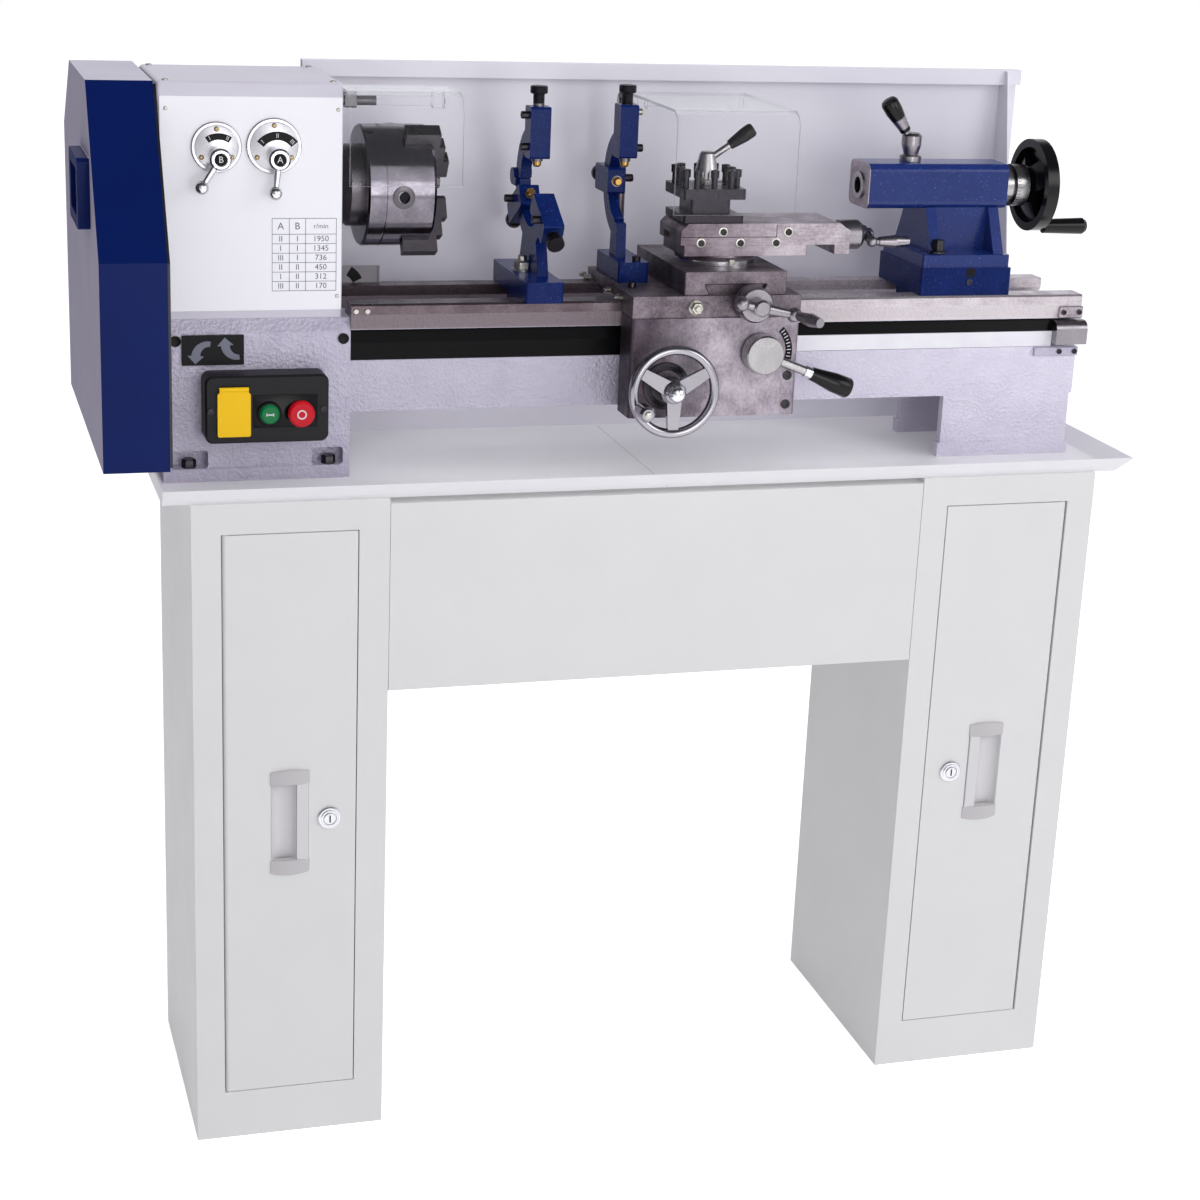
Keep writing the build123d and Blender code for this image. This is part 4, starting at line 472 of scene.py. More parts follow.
dial_back, dial_thick, hub_reach = housing_front - 0.6, 3.2, 20
face, hub_face = dial_back - dial_thick, housing_front - 1 - hub_reach
for name, hub, disc, radius, spread, middle, dark_to, steps in (
        ("a", (-67.0, 1052.0), (-70.2, 1063.4), 27.7, 52, 21.7, 26.0, ("III", "II", "I")),
        ("b", (-125.5, 1052.0), (-127.5, 1062.0), 25.2, 34, 20.7, 24.0, ("II", "I"))):
    disc_plate = turned([(radius, 0), (radius, 2.4), (radius - 0.8, dial_thick), (radius - 3.4, dial_thick),
                         (radius - 3.8, 2.9), (radius - 4.4, dial_thick), (0.5, dial_thick)],
                        (disc[0], dial_back, disc[1]), front, 64)
    piece(f"dial_{name}", [disc_plate], "machine", dial_alloy)
    dark = sector((hub[0], face, hub[1]), 17.5, dark_to, 90 - spread, 90 + spread, -0.3, 0.15)
    piece(f"dial_{name}_sector", [dark], "machine", etched)
    marks = []
    for k, text in enumerate(steps):
        lean = np.radians(90 + (spread - 9) * (2 * k / (len(steps) - 1) - 1))
        spot = (hub[0] + middle * np.cos(lean), face - 0.2, hub[1] + middle * np.sin(lean))
        marks.append(letters(text, 6.0, spot, (np.sin(lean), 0, -np.cos(lean))))
    piece(f"dial_{name}_steps", marks, "machine", pale_mark, 20)
    bolt_circle = radius - 7.2
    screws = [domed_screw((disc[0] + bolt_circle * np.cos(a), face, disc[1] + bolt_circle * np.sin(a)),
                          front, 2.6) for a in np.radians((90, 213, 327))]
    piece(f"dial_{name}_screws", screws, "machine", brass)
    hub_at = (hub[0], hub_face, hub[1])
    button = turned([(6.4, -0.3), (6.4, 0.35), (6.0, 0.6)], hub_at, front)
    rim = turned([(8.6, -0.3), (8.6, 0.4), (8.1, 0.9), (7.0, 0.9), (6.6, 0.4), (6.5, -0.2)],
                 hub_at, front, 40)
    piece(f"lever_{name}_button", [button], f"lever_{name}", etched)
    piece(f"lever_{name}_ring", [rim], f"lever_{name}", chrome)
    letter = letters(name.upper(), 9.0, (hub[0], hub_face - 0.62, hub[1]))
    piece(f"lever_{name}_letter", [letter], f"lever_{name}", pale_mark, 20)

# Base front: a black arrow plate shows which way the spindle turns. The holes at the top corners take the
# bolts that hold the housing down, and a black disc on each paints the shade inside it.
base_front = -63.5
arrow_plate = plate((63, 31, 1.0), ((0, -0.5), (0, 0.6), (0.2, 0.8)), (-133.5, base_front, base_z + 138))
piece("arrow_plate", [arrow_plate], "machine", etched)


def arrow(centre, turn_from, turn_to, radius=13.0, half=4.6, tip=8.5):
    """A bent arrow: a ring sector that widens to the given half width and ends in a wedge as long as tip."""
    a = np.radians(np.linspace(turn_from, turn_to, 16))
    way = np.sign(turn_to - turn_from)
    out = np.stack([np.cos(a), np.sin(a)], 1)
    last = out[-1]
    ahead = way * np.array([-last[1], last[0]])
    head = np.array([(radius + 1.8 * half) * last, radius * last + tip * ahead, (radius - 1.8 * half) * last])
    grow = half * np.linspace(0.55, 1.0, len(a))[:, None]
    rim = np.concatenate([(radius + grow) * out, head, ((radius - grow) * out)[::-1]])
    return raised(rim if way > 0 else rim[::-1], ((0, -0.2), (0, 0.15)), centre)


arrow_grey = satin_plastic("grey_print", "#6E7180", 0.5)
arrow_y = base_front - 0.82
arrows = [arrow((-137.9, arrow_y, base_z + 131.5), 82, 176),
          arrow((-108.0, arrow_y, base_z + 143.5), 276, 184)]
piece("arrows", arrows, "machine", arrow_grey, 20)
# each bolt hole is a black disc, painted shade
hole_shade = [(5.6, -0.2), (5.6, 0.3), (5.2, 0.45), (4.6, 0.1), (0.2, 0.1)]
hole_shade_discs = [turned(hole_shade, (x, base_front, base_z + 147.5), front) for x in (-171.0, 0.5)]
piece("base_bolt_hole_shade", hole_shade_discs, "machine", etched)

# Switch: a moulded black box on the base with a hinged yellow flap over the stop latch, a green start
# button and a red mushroom stop button. A darker shiny panel lies round the buttons.
box_black = satin_plastic("moulded_black_abs", "#18171B", 0.45, 0.2)
panel_black = satin_plastic("polished_black_abs", "#09080A", 0.18, 0.15)
coat(("switch_box",), box_black)
coat(("start_button",), satin_plastic("green_push_button", "#02703C", 0.3, 0.25))
coat(("stop_button",), satin_plastic("red_push_button", "#C4021C", 0.3, 0.25))
coat(("switch_flap",), satin_plastic("yellow_flap", "#F6C403", 0.32, 0.25))
box_front, start_front, stop_front = -92.0, -100.4, -103.4
start_x, stop_x, button_z = -81.0, -49.0, base_z + 78
panel = plate((66, 34, 1.5), ((0, -0.4), (0, 0.5), (0.3, 0.7)), (-64.0, box_front, base_z + 80))
piece("switch_panel", [panel], "machine", panel_black)
screws = [socket_screw((x, box_front + 0.2, base_z + 81.0), front, 3.4, 1.6) for x in (-140.0, -25.0)]
piece("switch_screws", screws, "machine", black_oxide)
collar = turned([(12.6, -0.3), (12.6, 4.0), (12.0, 5.0), (10.5, 5.0), (10.4, -0.2)],
                (start_x, box_front, button_z), front, 40)
piece("start_collar", [collar], "machine", panel_black)
moulded = ((0, -0.2), (0, 0.2))
stroke = [plate(size, moulded, (start_x + x, start_front, button_z))
          for size, x in (((7.4, 1.3, 0.5), 0.0), ((1.2, 3.2, 0.5), -3.4), ((1.2, 3.2, 0.5), 3.4))]
piece("start_mark", stroke, "start_button", pale_mark)
ring = turned([(4.9, -0.3), (4.9, 0.2), (3.5, 0.2), (3.5, -0.3)], (stop_x, stop_front, button_z), front, 40)
piece("stop_mark", [ring], "stop_button", pale_mark)

# Gear guard: a folded sheet-steel box on a back hinge. Its front and the bow pull on its side are painted
# gloss blue, its top silver-grey, and the flat of its side is duller.
guard_paint, tree, place = finish_of("guard_gloss_enamel")
pull_side = -0.2538
facing = add(tree, "SeparateXYZ", {0: add(tree, "TexCoord").outputs["Normal"]})
forward = add(tree, "MapRange", {0: facing.outputs[1], 1: -0.35, 2: -0.45})
peel = add(tree, "TexNoise", {"Vector": place, "Scale": 1 / 0.0016, "Detail": 1.0})
bump = add(tree, "Bump", {"Height": peel, "Strength": 0.05, "Distance": 0.0004})
cloud = add(tree, "TexNoise", {"Vector": place, "Scale": 1 / 0.08, "Detail": 3.0})
grey = add(tree, "Mix", {0: cloud, 6: srgb("#B5B0C3"), 7: srgb("#A7A1B5")}, data_type="RGBA")
blue = add(tree, "Mix", {0: cloud, 6: srgb("#001A5C"), 7: srgb("#00144E")}, data_type="RGBA")
sideways = add(tree, "MapRange", {0: facing.outputs[0], 1: -0.5, 2: -0.7})
pull = add(tree, "Math", {0: 1.0, 1: cut_at(tree, place, 0, pull_side, 0.0002)}, operation="SUBTRACT")
painted = add(tree, "Math", {0: forward, 1: pull}, operation="MAXIMUM")
both = add(tree, "Mix", {0: painted, 6: grey, 7: blue}, data_type="RGBA")
gloss = add(tree, "MapRange", {0: cloud, 3: 0.2, 4: 0.3})
sheen = add(tree, "Mix", {0: sideways, 2: gloss, 3: 0.75})
skin = add(tree, "BsdfPrincipled", {
    "Base Color": both, "Roughness": sheen, "Normal": bump, "Specular IOR Level": 0.12})
add(tree, "OutputMaterial", {0: skin})
coat(("gear_guard",), guard_paint)
black_paint = powder_coat("satin_black_enamel", "#1A191C", rough=0.35)
coat(("guard_backplate", "motor"), black_paint)

# Drive behind the guard: turned steel pulleys and gears, bright from the lathe, the dark blued spindle,
# and a rubber V-belt from the motor.
turned_steel = plated("turned_steel", "#A9A6A8", 0.26)
dark_steel = plated("blued_steel", "#5A565B", 0.32)
rubber = satin_plastic("belt_rubber", "#1C1B1D", 0.6, 0.2)
coat(("idler_gear", "leadscrew", "input_shaft", "motor_pulley"), turned_steel)
coat(("spindle",), dark_steel)
coat(("drive_belt",), rubber)

# Chuck: a turned steel body with hardened jaws, bright on its rim and face. Its faces turned back towards
# the housing are painted dark as shade.
# Each of its three key holes has a dark ring, and a black disc deep in the hole paints its shade.
chuck_steel, tree, place = finish_of("turned_chuck_steel")
inputs = ground(tree, place, "#807C84", "#625E66", (1.0, 0.05, 0.05), 0.12, 0.15)
inputs["Metallic"] = 1.0
facing = add(tree, "SeparateXYZ", {0: add(tree, "TexCoord").outputs["Normal"]})
# faces turned back towards the housing take a painted shade
back_painted_shade = add(tree, "MapRange", {0: facing.outputs[0], 1: -0.5, 2: -0.7})
tone = add(tree, "Mix", {0: back_painted_shade, 6: inputs["Base Color"], 7: srgb("#3A373C")}, data_type="RGBA")
inputs["Base Color"] = tone
skin = add(tree, "BsdfPrincipled", inputs)
add(tree, "OutputMaterial", {0: skin})
coat(("chuck_body",), chuck_steel)
coat(("chuck_jaw_1", "chuck_jaw_2", "chuck_jaw_3"), dark_steel)
axis_z, key_x, chuck_radius = base_z + 296, 61.6, 62.5
ring = [(6.1, -4.0), (11.8, -4.0), (11.8, 0.2), (11.2, 0.45), (6.6, 0.45), (6.1, 0.0), (6.1, -3.9)]
rings, shade_floors = [], []
for lean in np.radians((184.0, 304.0, 64.0)):
    way = np.array((0.0, np.cos(lean), np.sin(lean)))
    hole_at = np.array((key_x, 0.0, axis_z)) + chuck_radius * way
    rings.append(turned(ring, hole_at, way, 40))
    # a black disc down each key hole is painted shade
    shade_floors.append(turned([(5.9, -12.0), (5.9, -3.0), (0.2, -3.0)], hole_at, way, 24))
piece("chuck_key_rings", rings, "spindle", dark_steel)
piece("chuck_key_shade_floors", shade_floors, "spindle", etched)

# Chip plate: a low folded sheet of dull grey steel on the back way behind the chuck, its grey darkened
# as painted shade, with a black ring showing in it.
plate_y, chip_long, chip_high, chip_fold = 59.0, 61.4, 18.5, 2.2
shaded_sheet_grey = satin_plastic("grey_sheet_painted_shade", "#98939A", 0.45)
sheet = [plate(size, ((0, -1.0), (0, thick)), (x, plate_y, base_z + h)) for size, thick, x, h in (
    ((chip_long, chip_high, 0.4), 1.0, 30.7, 191.8), ((1.6, chip_high, 0.4), chip_fold, 60.6, 191.8),
    ((chip_long, 1.4, 0.3), chip_fold, 30.7, 200.4))]
piece("chip_plate", sheet, "machine", shaded_sheet_grey)
ring = sector((16.4, plate_y - 1.0, base_z + 175), 18.0, 29.0, 26, 60, -0.3, 0.3)
piece("chip_plate_ring", [ring], "machine", etched)

# Clear guards: bent polycarbonate sheet with paler sawn edges, hung on rods. Seen edge-on the sheet turns
# pale and opaque, a painted reflection. The chuck guard's hinge fitting by the housing is grey.
clear, tree, place = finish_of("clear_polycarbonate")
hinge_y, hinge_z, fitting_end = -0.008, 1.104, 0.042
smear = add(tree, "TexNoise", {"Vector": place, "Scale": 1 / 0.03, "Detail": 4.0})
gloss = add(tree, "MapRange", {0: smear, 3: 0.04, 4: 0.12})
edge_on = add(tree, "LayerWeight", {"Blend": 0.5}).outputs["Facing"]
# opacity and pale tint rise edge-on: a painted reflection
body = add(tree, "MapRange", {0: edge_on, 1: 0.45, 2: 0.85, 3: 0.01, 4: 0.6}, interpolation_type="SMOOTHSTEP")
split = add(tree, "SeparateXYZ", {0: add(tree, "TexCoord").outputs["Normal"]})
ends = add(tree, "Math", {0: split.outputs[0]}, operation="ABSOLUTE")
cut_edge = add(tree, "MapRange", {0: ends, 1: 0.8, 2: 0.95, 3: 0.0, 4: 0.6})
spread = add(tree, "VectorMath", {0: place, 1: (0.0, 1.0, 1.0)}, operation="MULTIPLY")
off_axis = add(tree, "VectorMath", {0: spread, 1: (0.0, hinge_y, hinge_z)}, operation="DISTANCE")
near = add(tree, "MapRange", {0: off_axis, 1: 0.0105, 2: 0.0100})
short = add(tree, "Math", {0: 1.0, 1: cut_at(tree, place, 0, fitting_end)}, operation="SUBTRACT")
fitting = add(tree, "Math", {0: near, 1: short}, operation="MULTIPLY")
reflection_and_sawn_edges = add(tree, "Math", {0: body, 1: cut_edge}, operation="MAXIMUM")
shown = add(tree, "Math", {0: reflection_and_sawn_edges, 1: fitting}, operation="MAXIMUM")
tint = add(tree, "Mix", {0: fitting, 6: srgb("#DDE0E4"), 7: srgb("#5B585E")}, data_type="RGBA")
skin = add(tree, "BsdfPrincipled", {"Base Color": tint, "Roughness": gloss, "IOR": 1.5, "Alpha": shown})
add(tree, "OutputMaterial", {0: skin})
coat(("chuck_guard", "tool_shield"), clear)

# Leadscrew cover: a folded strip over the screw. Its upper slope is gloss black all along, and its front
# is white on the tailstock's side of the carriage.
strip_paint, tree, place = finish_of("black_and_white_strip_enamel")
beyond = cut_at(tree, place, 0, 0.4)
lower = add(tree, "Math", {0: 1.0, 1: cut_at(tree, place, 2, deck + 0.1415)}, operation="SUBTRACT")
pale = add(tree, "Math", {0: beyond, 1: lower}, operation="MULTIPLY")
smear = add(tree, "TexNoise", {"Vector": place, "Scale": 1 / 0.03, "Detail": 4.0})
white = add(tree, "Mix", {0: smear, 6: srgb("#F6F6FA"), 7: srgb("#DFDDE6")}, data_type="RGBA")
tone = add(tree, "Mix", {0: pale, 6: srgb("#080709"), 7: white}, data_type="RGBA")
gloss = add(tree, "MapRange", {0: smear, 3: 0.16, 4: 0.32})
skin = add(tree, "BsdfPrincipled", {"Base Color": tone, "Roughness": gloss, "Specular IOR Level": 0.08})
add(tree, "OutputMaterial", {0: skin})
coat(("leadscrew_cover",), strip_paint)

# Carriage: milled and ground grey iron, left bare. The saddle and cross slide are cut across the bed,
# the top slide along its own travel, and the apron's face is ground smooth. The top slide and apron darken
# towards the headstock, painted shade as well as oil.
irons = {}
for name, code, dark, run, rough, lined, shade_and_oil in (
        ("milled_iron_across", "#80767D", "#4A4047", (1.0, 0.05, 1.0), 0.38, 0.5, None),
        ("milled_iron_along", "#BFB6BC", "#867C83", (0.05, 1.0, 1.0), 0.36, 0.5, (0.37, 0.5, "#A2989F")),
        ("milled_iron_upright", "#ABA3AC", "#776D77", (1.0, 1.0, 0.06), 0.4, 0.3, (0.315, 0.385, "#7F767E"))):
    irons[name], tree, place = finish_of(name)
    inputs = ground(tree, place, code, dark, run, rough, lined)
    if shade_and_oil:
        inputs["Base Color"] = shaded_and_oiled(tree, place, inputs["Base Color"], *shade_and_oil)
    skin = add(tree, "BsdfPrincipled", inputs)
    add(tree, "OutputMaterial", {0: skin})
slide_iron, apron_iron = irons["milled_iron_along"], irons["milled_iron_upright"]
coat(("saddle", "cross_slide"), irons["milled_iron_across"])
coat(("apron",), apron_iron)
coat(("compound_base", "top_slide"), slide_iron)
polished = plated("polished_steel", "#A19EA4", 0.18)
milled = plated("milled_steel", "#928D93", 0.32)
coat(("apron_handwheel",), polished)
coat(("cross_crank", "top_crank", "leadscrew_bracket"), milled)
coat(("halfnut_lever", "toolpost_lever"), turned_steel)
tool_steel = plated("blacked_tool_steel", "#38343A", 0.32)
coat(("toolpost",), tool_steel)
grip_black = satin_plastic("turned_black_grip", "#0C0B0D", 0.22, 0.25)

# Apron: a black tapered grip on the half-nut lever, an arc of black scale beside its boss, two cap screws
# at the right and a hexagon bolt that clamps the saddle.


def sleeve(start, toward, profile):
    """A turned cover along a rod: the profile holds (distance back from the rod's end, radius)."""
    way = np.asarray(toward, float)
    reach = np.linalg.norm(way)
    return turned([(radius, reach - back) for back, radius in profile], start, way, 40)


apron_front, nut_x, nut_z = -110.0, 439.0, base_z + 135
lever_from, lever_way = (nut_x, -122.0, nut_z), (98.0, -8.0, -38.0)
grip = sleeve(lever_from, lever_way, ((47, 5.1), (47, 7.2), (40, 7.9), (20, 10.7), (3, 11.2), (0.4, 9.6),
                                      (-0.4, 6.0), (-0.5, 0.2)))
piece("halfnut_grip", [grip], "halfnut_lever", grip_black)
ferrule = sleeve(lever_from, lever_way, ((55, 5.1), (55, 6.3), (47, 6.3), (47, 5.1)))
piece("halfnut_ferrule", [ferrule], "halfnut_lever", chrome)
scale = sector((nut_x, apron_front, nut_z), 29.5, 37.0, -14, 46, -0.3, 0.5)
piece("halfnut_scale", [scale], "carriage", etched)
scale_radius = 33.2
ticks = [plate((0.9, 3.2 if k % 2 else 5.0, 0.3), printed,
               (nut_x + scale_radius * np.cos(a), apron_front - 0.5, nut_z + scale_radius * np.sin(a)),
               front, (-np.sin(a), 0, np.cos(a)))
         for k, a in enumerate(np.radians(np.linspace(-9, 41, 9)))]
piece("halfnut_scale_marks", ticks, "carriage", pale_mark)
spots = [(472.0, apron_front, base_z + h) for h in (109.0, 77.5)]
caps = [socket_screw(spot, front, 5.2, 1.6) for spot in spots]
piece("apron_screws", caps, "carriage", black_oxide)
seat = [(7.0, -0.4), (7.0, 0.3), (6.6, 0.5), (5.4, 0.5), (5.4, -0.4)]
seats = [turned(seat, spot, front) for spot in spots]
piece("apron_screw_seats", seats, "carriage", apron_iron)
bolt_x, bolt_z, washer_top = 366.0, base_z + 183, -108.4
bolt = [turned([(8.2, -0.4), (8.2, 1.2), (7.8, 1.6), (4.0, 1.6)], (bolt_x, -107.0, bolt_z), front),
        hex_nut((bolt_x, washer_top, bolt_z), front, 12.5, 6.0),
        turned([(3.4, 0.0), (3.4, 8.4), (2.8, 9.0)], (bolt_x, washer_top, bolt_z), front, 20)]
piece("saddle_bolt", bolt, "carriage", zinc)
wings = [socket_screw((x, y, base_z + 195), upward, 4.4, 6.0)
         for x, y in ((311.7, -52.6), (469.0, -60.0), (469.0, 40.0))]
piece("saddle_screws", wings, "carriage", black_oxide)

# Handwheel: the grip turns on a domed screw, the hub is closed by a polished cap nut, and a dark ring lies
# round the boss on the apron.
wheel_x, wheel_z, grip_circle, cap_radius = 336.0, base_z + 100.5, 42.5, 9.0
lean = np.radians(200)
grip_at = (wheel_x + grip_circle * np.cos(lean), -179.0, wheel_z + grip_circle * np.sin(lean))
piece("wheel_grip_screw", [domed_screw(grip_at, front, 4.2)], "apron_handwheel", zinc)
dome = [(cap_radius * np.cos(a), 2.0 + 7.0 * np.sin(a)) for a in np.radians((15, 30, 45, 60, 75, 88))]
cap = turned([(cap_radius, -0.5), (cap_radius, 2.0)] + dome, (wheel_x, -148.0, wheel_z), front)
piece("wheel_cap_nut", [cap], "apron_handwheel", chrome)
boss = turned([(25.5, -0.4), (25.5, 1.4), (24.8, 2.0), (21.0, 2.0), (20.4, 0.5), (17.0, 0.5)],
              (wheel_x, apron_front, wheel_z), front, 64)
piece("wheel_boss_ring", [boss], "carriage", black_oxide)

# Cross feed: the dovetail shows as a joint line on the front of the slide, and the dial has graduation lines
# all round, one in five long.
joint = [plate((length, 0.7, 0.2), scribed, (x, -103.0, base_z + h), front, way)
         for length, x, h, way in ((69.8, 411.0, 206.7, rightward), (11.4, 378.85, 200.6, (0.46, 0, -0.888)),
                                   (11.4, 443.15, 200.6, (-0.46, 0, -0.888)))]
piece("cross_slide_joint", joint, "cross_slide", etched)


def dial_lines(start, along, level, radius, width, short, long):
    """Forty lines round a dial: each starts on a circle about start and runs along the axis.

    A point of the circle at angle a is radius times (level cos a + up sin a). Every fifth line is long.
    """
    start, along, level, up = (np.asarray(v, float) for v in (start, along, level, upward))
    made = []
    for k in range(40):
        a = 2 * np.pi * k / 40
        reach = short if k % 5 else long
        away = np.cos(a) * level + np.sin(a) * up
        made.append(plate((width, reach, 0.2), printed, start + reach / 2 * along + radius * away, away,
                          np.cos(a) * up - np.sin(a) * level))
    return made


marks = dial_lines((425.0, -116.5, base_z + 189), front, rightward, 19.0, 0.5, 3.2, 5.5)
piece("cross_dial_marks", marks, "cross_crank", etched)

# Top slide: milled iron on its dovetail, with a joint line along its face and gib screws in two rows.
# Three bright nuts lock the swivel, which has a polished rim.
slide_face, swivel_x, swivel_y = -65.0, 411.0, -28.0
joint = [plate((108.0, 0.7, 0.2), scribed, (414.0, slide_face, base_z + 249.8)),
         plate((0.7, 13.0, 0.2), scribed, (467.5, slide_face, base_z + 256.2))]
piece("top_slide_joint", joint, "top_slide", etched)
spots = [(x, slide_face, base_z + h)
         for x, h in ((406.8, 255.3), (480.7, 255.0), (382.5, 243.6), (426.7, 243.4), (467.2, 243.4))]
caps = [socket_screw(spot, front, 3.5, 2.4) for spot in spots]
piece("gib_screws", caps, "top_slide", black_oxide)
lock_nut = [(5.2, -0.3), (5.2, 0.4), (4.6, 0.7), (3.6, 0.7), (3.6, -0.3)]
nuts = [turned(lock_nut, spot, front) for spot in spots]
piece("gib_screw_nuts", nuts, "top_slide", zinc)
nuts = [hex_nut((swivel_x + dx, swivel_y + dy, base_z + 222.0), upward, 9.5, 5.5)
        for dx, dy in ((5.0, -39.5), (-36.0, 12.0), (36.0, 12.0))]
piece("swivel_nuts", nuts, "compound_base", zinc)
rim = turned([(43.2, -0.2), (43.2, 4.0), (42.6, 4.6), (41.5, 4.6), (41.5, -0.2)],
             (swivel_x, swivel_y, base_z + 220.0), upward, 96)
piece("swivel_rim", [rim], "compound_base", chrome)

# Tool post: a blacked steel block. Its twelve clamp screws have sockets in their heads, and its lever
# ends in a turned black grip.
post_x, post_y, row_out = 397, -28, 28.5
heads = []
for side_x, side_y in ((1, 0), (0, 1), (-1, 0), (0, -1)):
    for spot in (-19.0, 0.0, 19.0):
        at = (post_x + side_x * row_out + abs(side_y) * spot, post_y + side_y * row_out + abs(side_x) * spot,
              base_z + 317.5)
        heads.append(socket_screw(at, upward, 4.6, 1.6))
piece("post_screw_heads", heads, "toolpost", black_oxide)
grip = sleeve((400.0, -29.0, base_z + 328), (44.0, -9.0, 33.0),
              ((31, 3.6), (31, 5.2), (12, 7.7), (3, 7.7), (0.3, 6.2), (-0.3, 4.0), (-0.4, 0.2)))
piece("post_lever_grip", [grip], "toolpost_lever", grip_black)

# Rests: iron castings in speckled gloss blue. Each finger is a steel rod with a brass tip at the work
# and a black knurled head outside.


def speckled(tree, place, fleck_size, code, dark, fleck, level, rise):
    """Gloss blue enamel with paler flecks, as a Principled's inputs: a 20 mm cloud of two blues, and a fleck
    where a noise of the given size is above level. The same noise bumps the surface, as strongly as rise.
    """
    speck = add(tree, "TexNoise", {"Vector": place, "Scale": 1 / fleck_size, "Detail": 3.0})
    cloud = add(tree, "TexNoise", {"Vector": place, "Scale": 1 / 0.02, "Detail": 3.0})
    shade = add(tree, "Mix", {0: cloud, 6: srgb(code), 7: srgb(dark)}, data_type="RGBA")
    bright = add(tree, "MapRange", {0: speck, 1: level, 2: level + 0.14})
    tone = add(tree, "Mix", {0: bright, 6: shade, 7: srgb(fleck)}, data_type="RGBA")
    bump = add(tree, "Bump", {"Height": speck, "Strength": rise, "Distance": 0.0008})
    return {"Base Color": tone, "Metallic": 0.0, "Roughness": 0.2, "Normal": bump}


rest_blue, tree, place = finish_of("speckled_blue_enamel")
enamel = speckled(tree, place, 0.0024, "#0E2666", "#06174A", "#2A4288", 0.6, 0.25)
skin = add(tree, "BsdfPrincipled", {**enamel, "Specular IOR Level": 0.1})
add(tree, "OutputMaterial", {0: skin})
coat(("follow_rest", "steady_base", "steady_arm", "tailstock_base"), rest_blue)
finger_metal, tree, place = finish_of("brass_steel_and_black_finger")
split = add(tree, "SeparateXYZ", {0: place})
rise = add(tree, "Math", {0: split.outputs[2], 1: axis_z / 1000}, operation="SUBTRACT")
flat = add(tree, "CombineXYZ", {1: split.outputs[1], 2: rise})
away = add(tree, "VectorMath", {0: flat}, operation="LENGTH")
shank = add(tree, "MapRange", {0: away, 1: 0.0249, 2: 0.0251})
head = add(tree, "MapRange", {0: away, 1: 0.0852, 2: 0.0854})
knurl = add(tree, "TexVoronoi", {"Vector": place, "Scale": 1 / 0.0014})
bump = add(tree, "Bump", {"Height": knurl, "Strength": head, "Distance": 0.0006})
metal = add(tree, "Mix", {0: shank, 6: srgb("#B08A4E"), 7: srgb("#6E6A70")}, data_type="RGBA")
tone = add(tree, "Mix", {0: head, 6: metal, 7: srgb("#232125")}, data_type="RGBA")
gloss = add(tree, "MapRange", {0: head, 3: 0.26, 4: 0.4})
skin = add(tree, "BsdfPrincipled", {"Base Color": tone, "Roughness": gloss, "Normal": bump, "Metallic": 0.9})
add(tree, "OutputMaterial", {0: skin})
coat(("follow_finger_top", "follow_finger_side", "steady_finger_top", "steady_finger_front",
      "steady_finger_back"), finger_metal)

# Rest fittings: black cap screws that hold the feet and pinch the fingers, the steady's zinc-plated clamp
# nut on its stud, and four small oilers in the saddle's side.
follow_side, steady_side, stud_x, stud_y = 324.0, 206.0, 205.0, 2.0
pinch = [socket_screw((follow_side, y, base_z + h), rightward, 4.2, 9.0)
         for y, h in ((0.0, 335.0), (30.0, 299.0))]
foot = [socket_screw((327.0, y, base_z + 217.0), upward, 4.6, 5.0) for y in (-16.0, 46.0)]
piece("follow_screws", pinch + foot, "carriage", black_oxide)
top_screw = socket_screw((follow_side, 0.0, base_z + 373.0), rightward, 3.6, 7.0)
piece("follow_top_screw", [top_screw], "carriage", zinc)
for name, body, radius, spots in (("steady_screws", "steady_base", 4.2, ((58.0, 273.0), (-58.0, 268.0))),
                                  ("steady_arm_screws", "steady_arm", 4.0, ((-2.0, 369.0), (-1.0, 336.0)))):
    pinch = [socket_screw((steady_side, y, base_z + h), leftward, radius, 8.0) for y, h in spots]
    piece(name, pinch, body, black_oxide)
stud_at = (stud_x, stud_y, base_z + 205)
clamp = [hex_nut((stud_x, stud_y, base_z + 206.5), upward, 16.0, 9.0),
         turned([(11.0, -0.5), (11.0, 1.4), (10.6, 1.8), (6.0, 1.8)], stud_at, upward),
         turned([(4.8, 0.0), (4.8, 15.0), (4.2, 15.8)], stud_at, upward, 24)]
piece("steady_clamp_nut", clamp, "steady_base", zinc)
oiler = [(3.6, -0.5), (3.6, 3.0), (2.6, 3.4), (2.6, 6.0), (1.6, 7.0)]
oilers = [turned(oiler, (297.0, y, base_z + 186.0), leftward, 20) for y in (-60.0, -21.0, 56.0, 74.0)]
piece("saddle_oilers", oilers, "carriage", zinc)

# Tailstock: two iron castings in speckled blue. The barrel's front end is milled bare round the ground
# quill, and the black wheel's web is closed between its spokes.
tail_paint, tree, place = finish_of("blue_enamel_and_milled_end")
enamel = speckled(tree, place, 0.0026, "#1C3276", "#122563", "#4A5E9C", 0.62, 0.2)
bare = ground(tree, place, "#B9AFB6", "#8C8088", (1.0, 0.06, 1.0), 0.32, 0.2)
whole = blended(tree, cut_at(tree, place, 0, 0.5864), bare, enamel)
skin = add(tree, "BsdfPrincipled", {**whole, "Specular IOR Level": 0.35})
add(tree, "OutputMaterial", {0: skin})
coat(("tailstock_body",), tail_paint)
coat(("quill",), turned_steel)
phenolic = satin_plastic("gloss_black_phenolic", "#0B0A0C", 0.2, 0.3)
coat(("tail_wheel",), phenolic)
web = turned([(42.4, 16.0), (42.4, 18.0), (0.2, 18.0)], (784.0, 0.0, axis_z), rightward, 64)
piece("tail_wheel_web", [web], "tail_wheel", phenolic)
coat(("quill_lock",), milled)
dial_radius, base_side = 23.3, -60.0
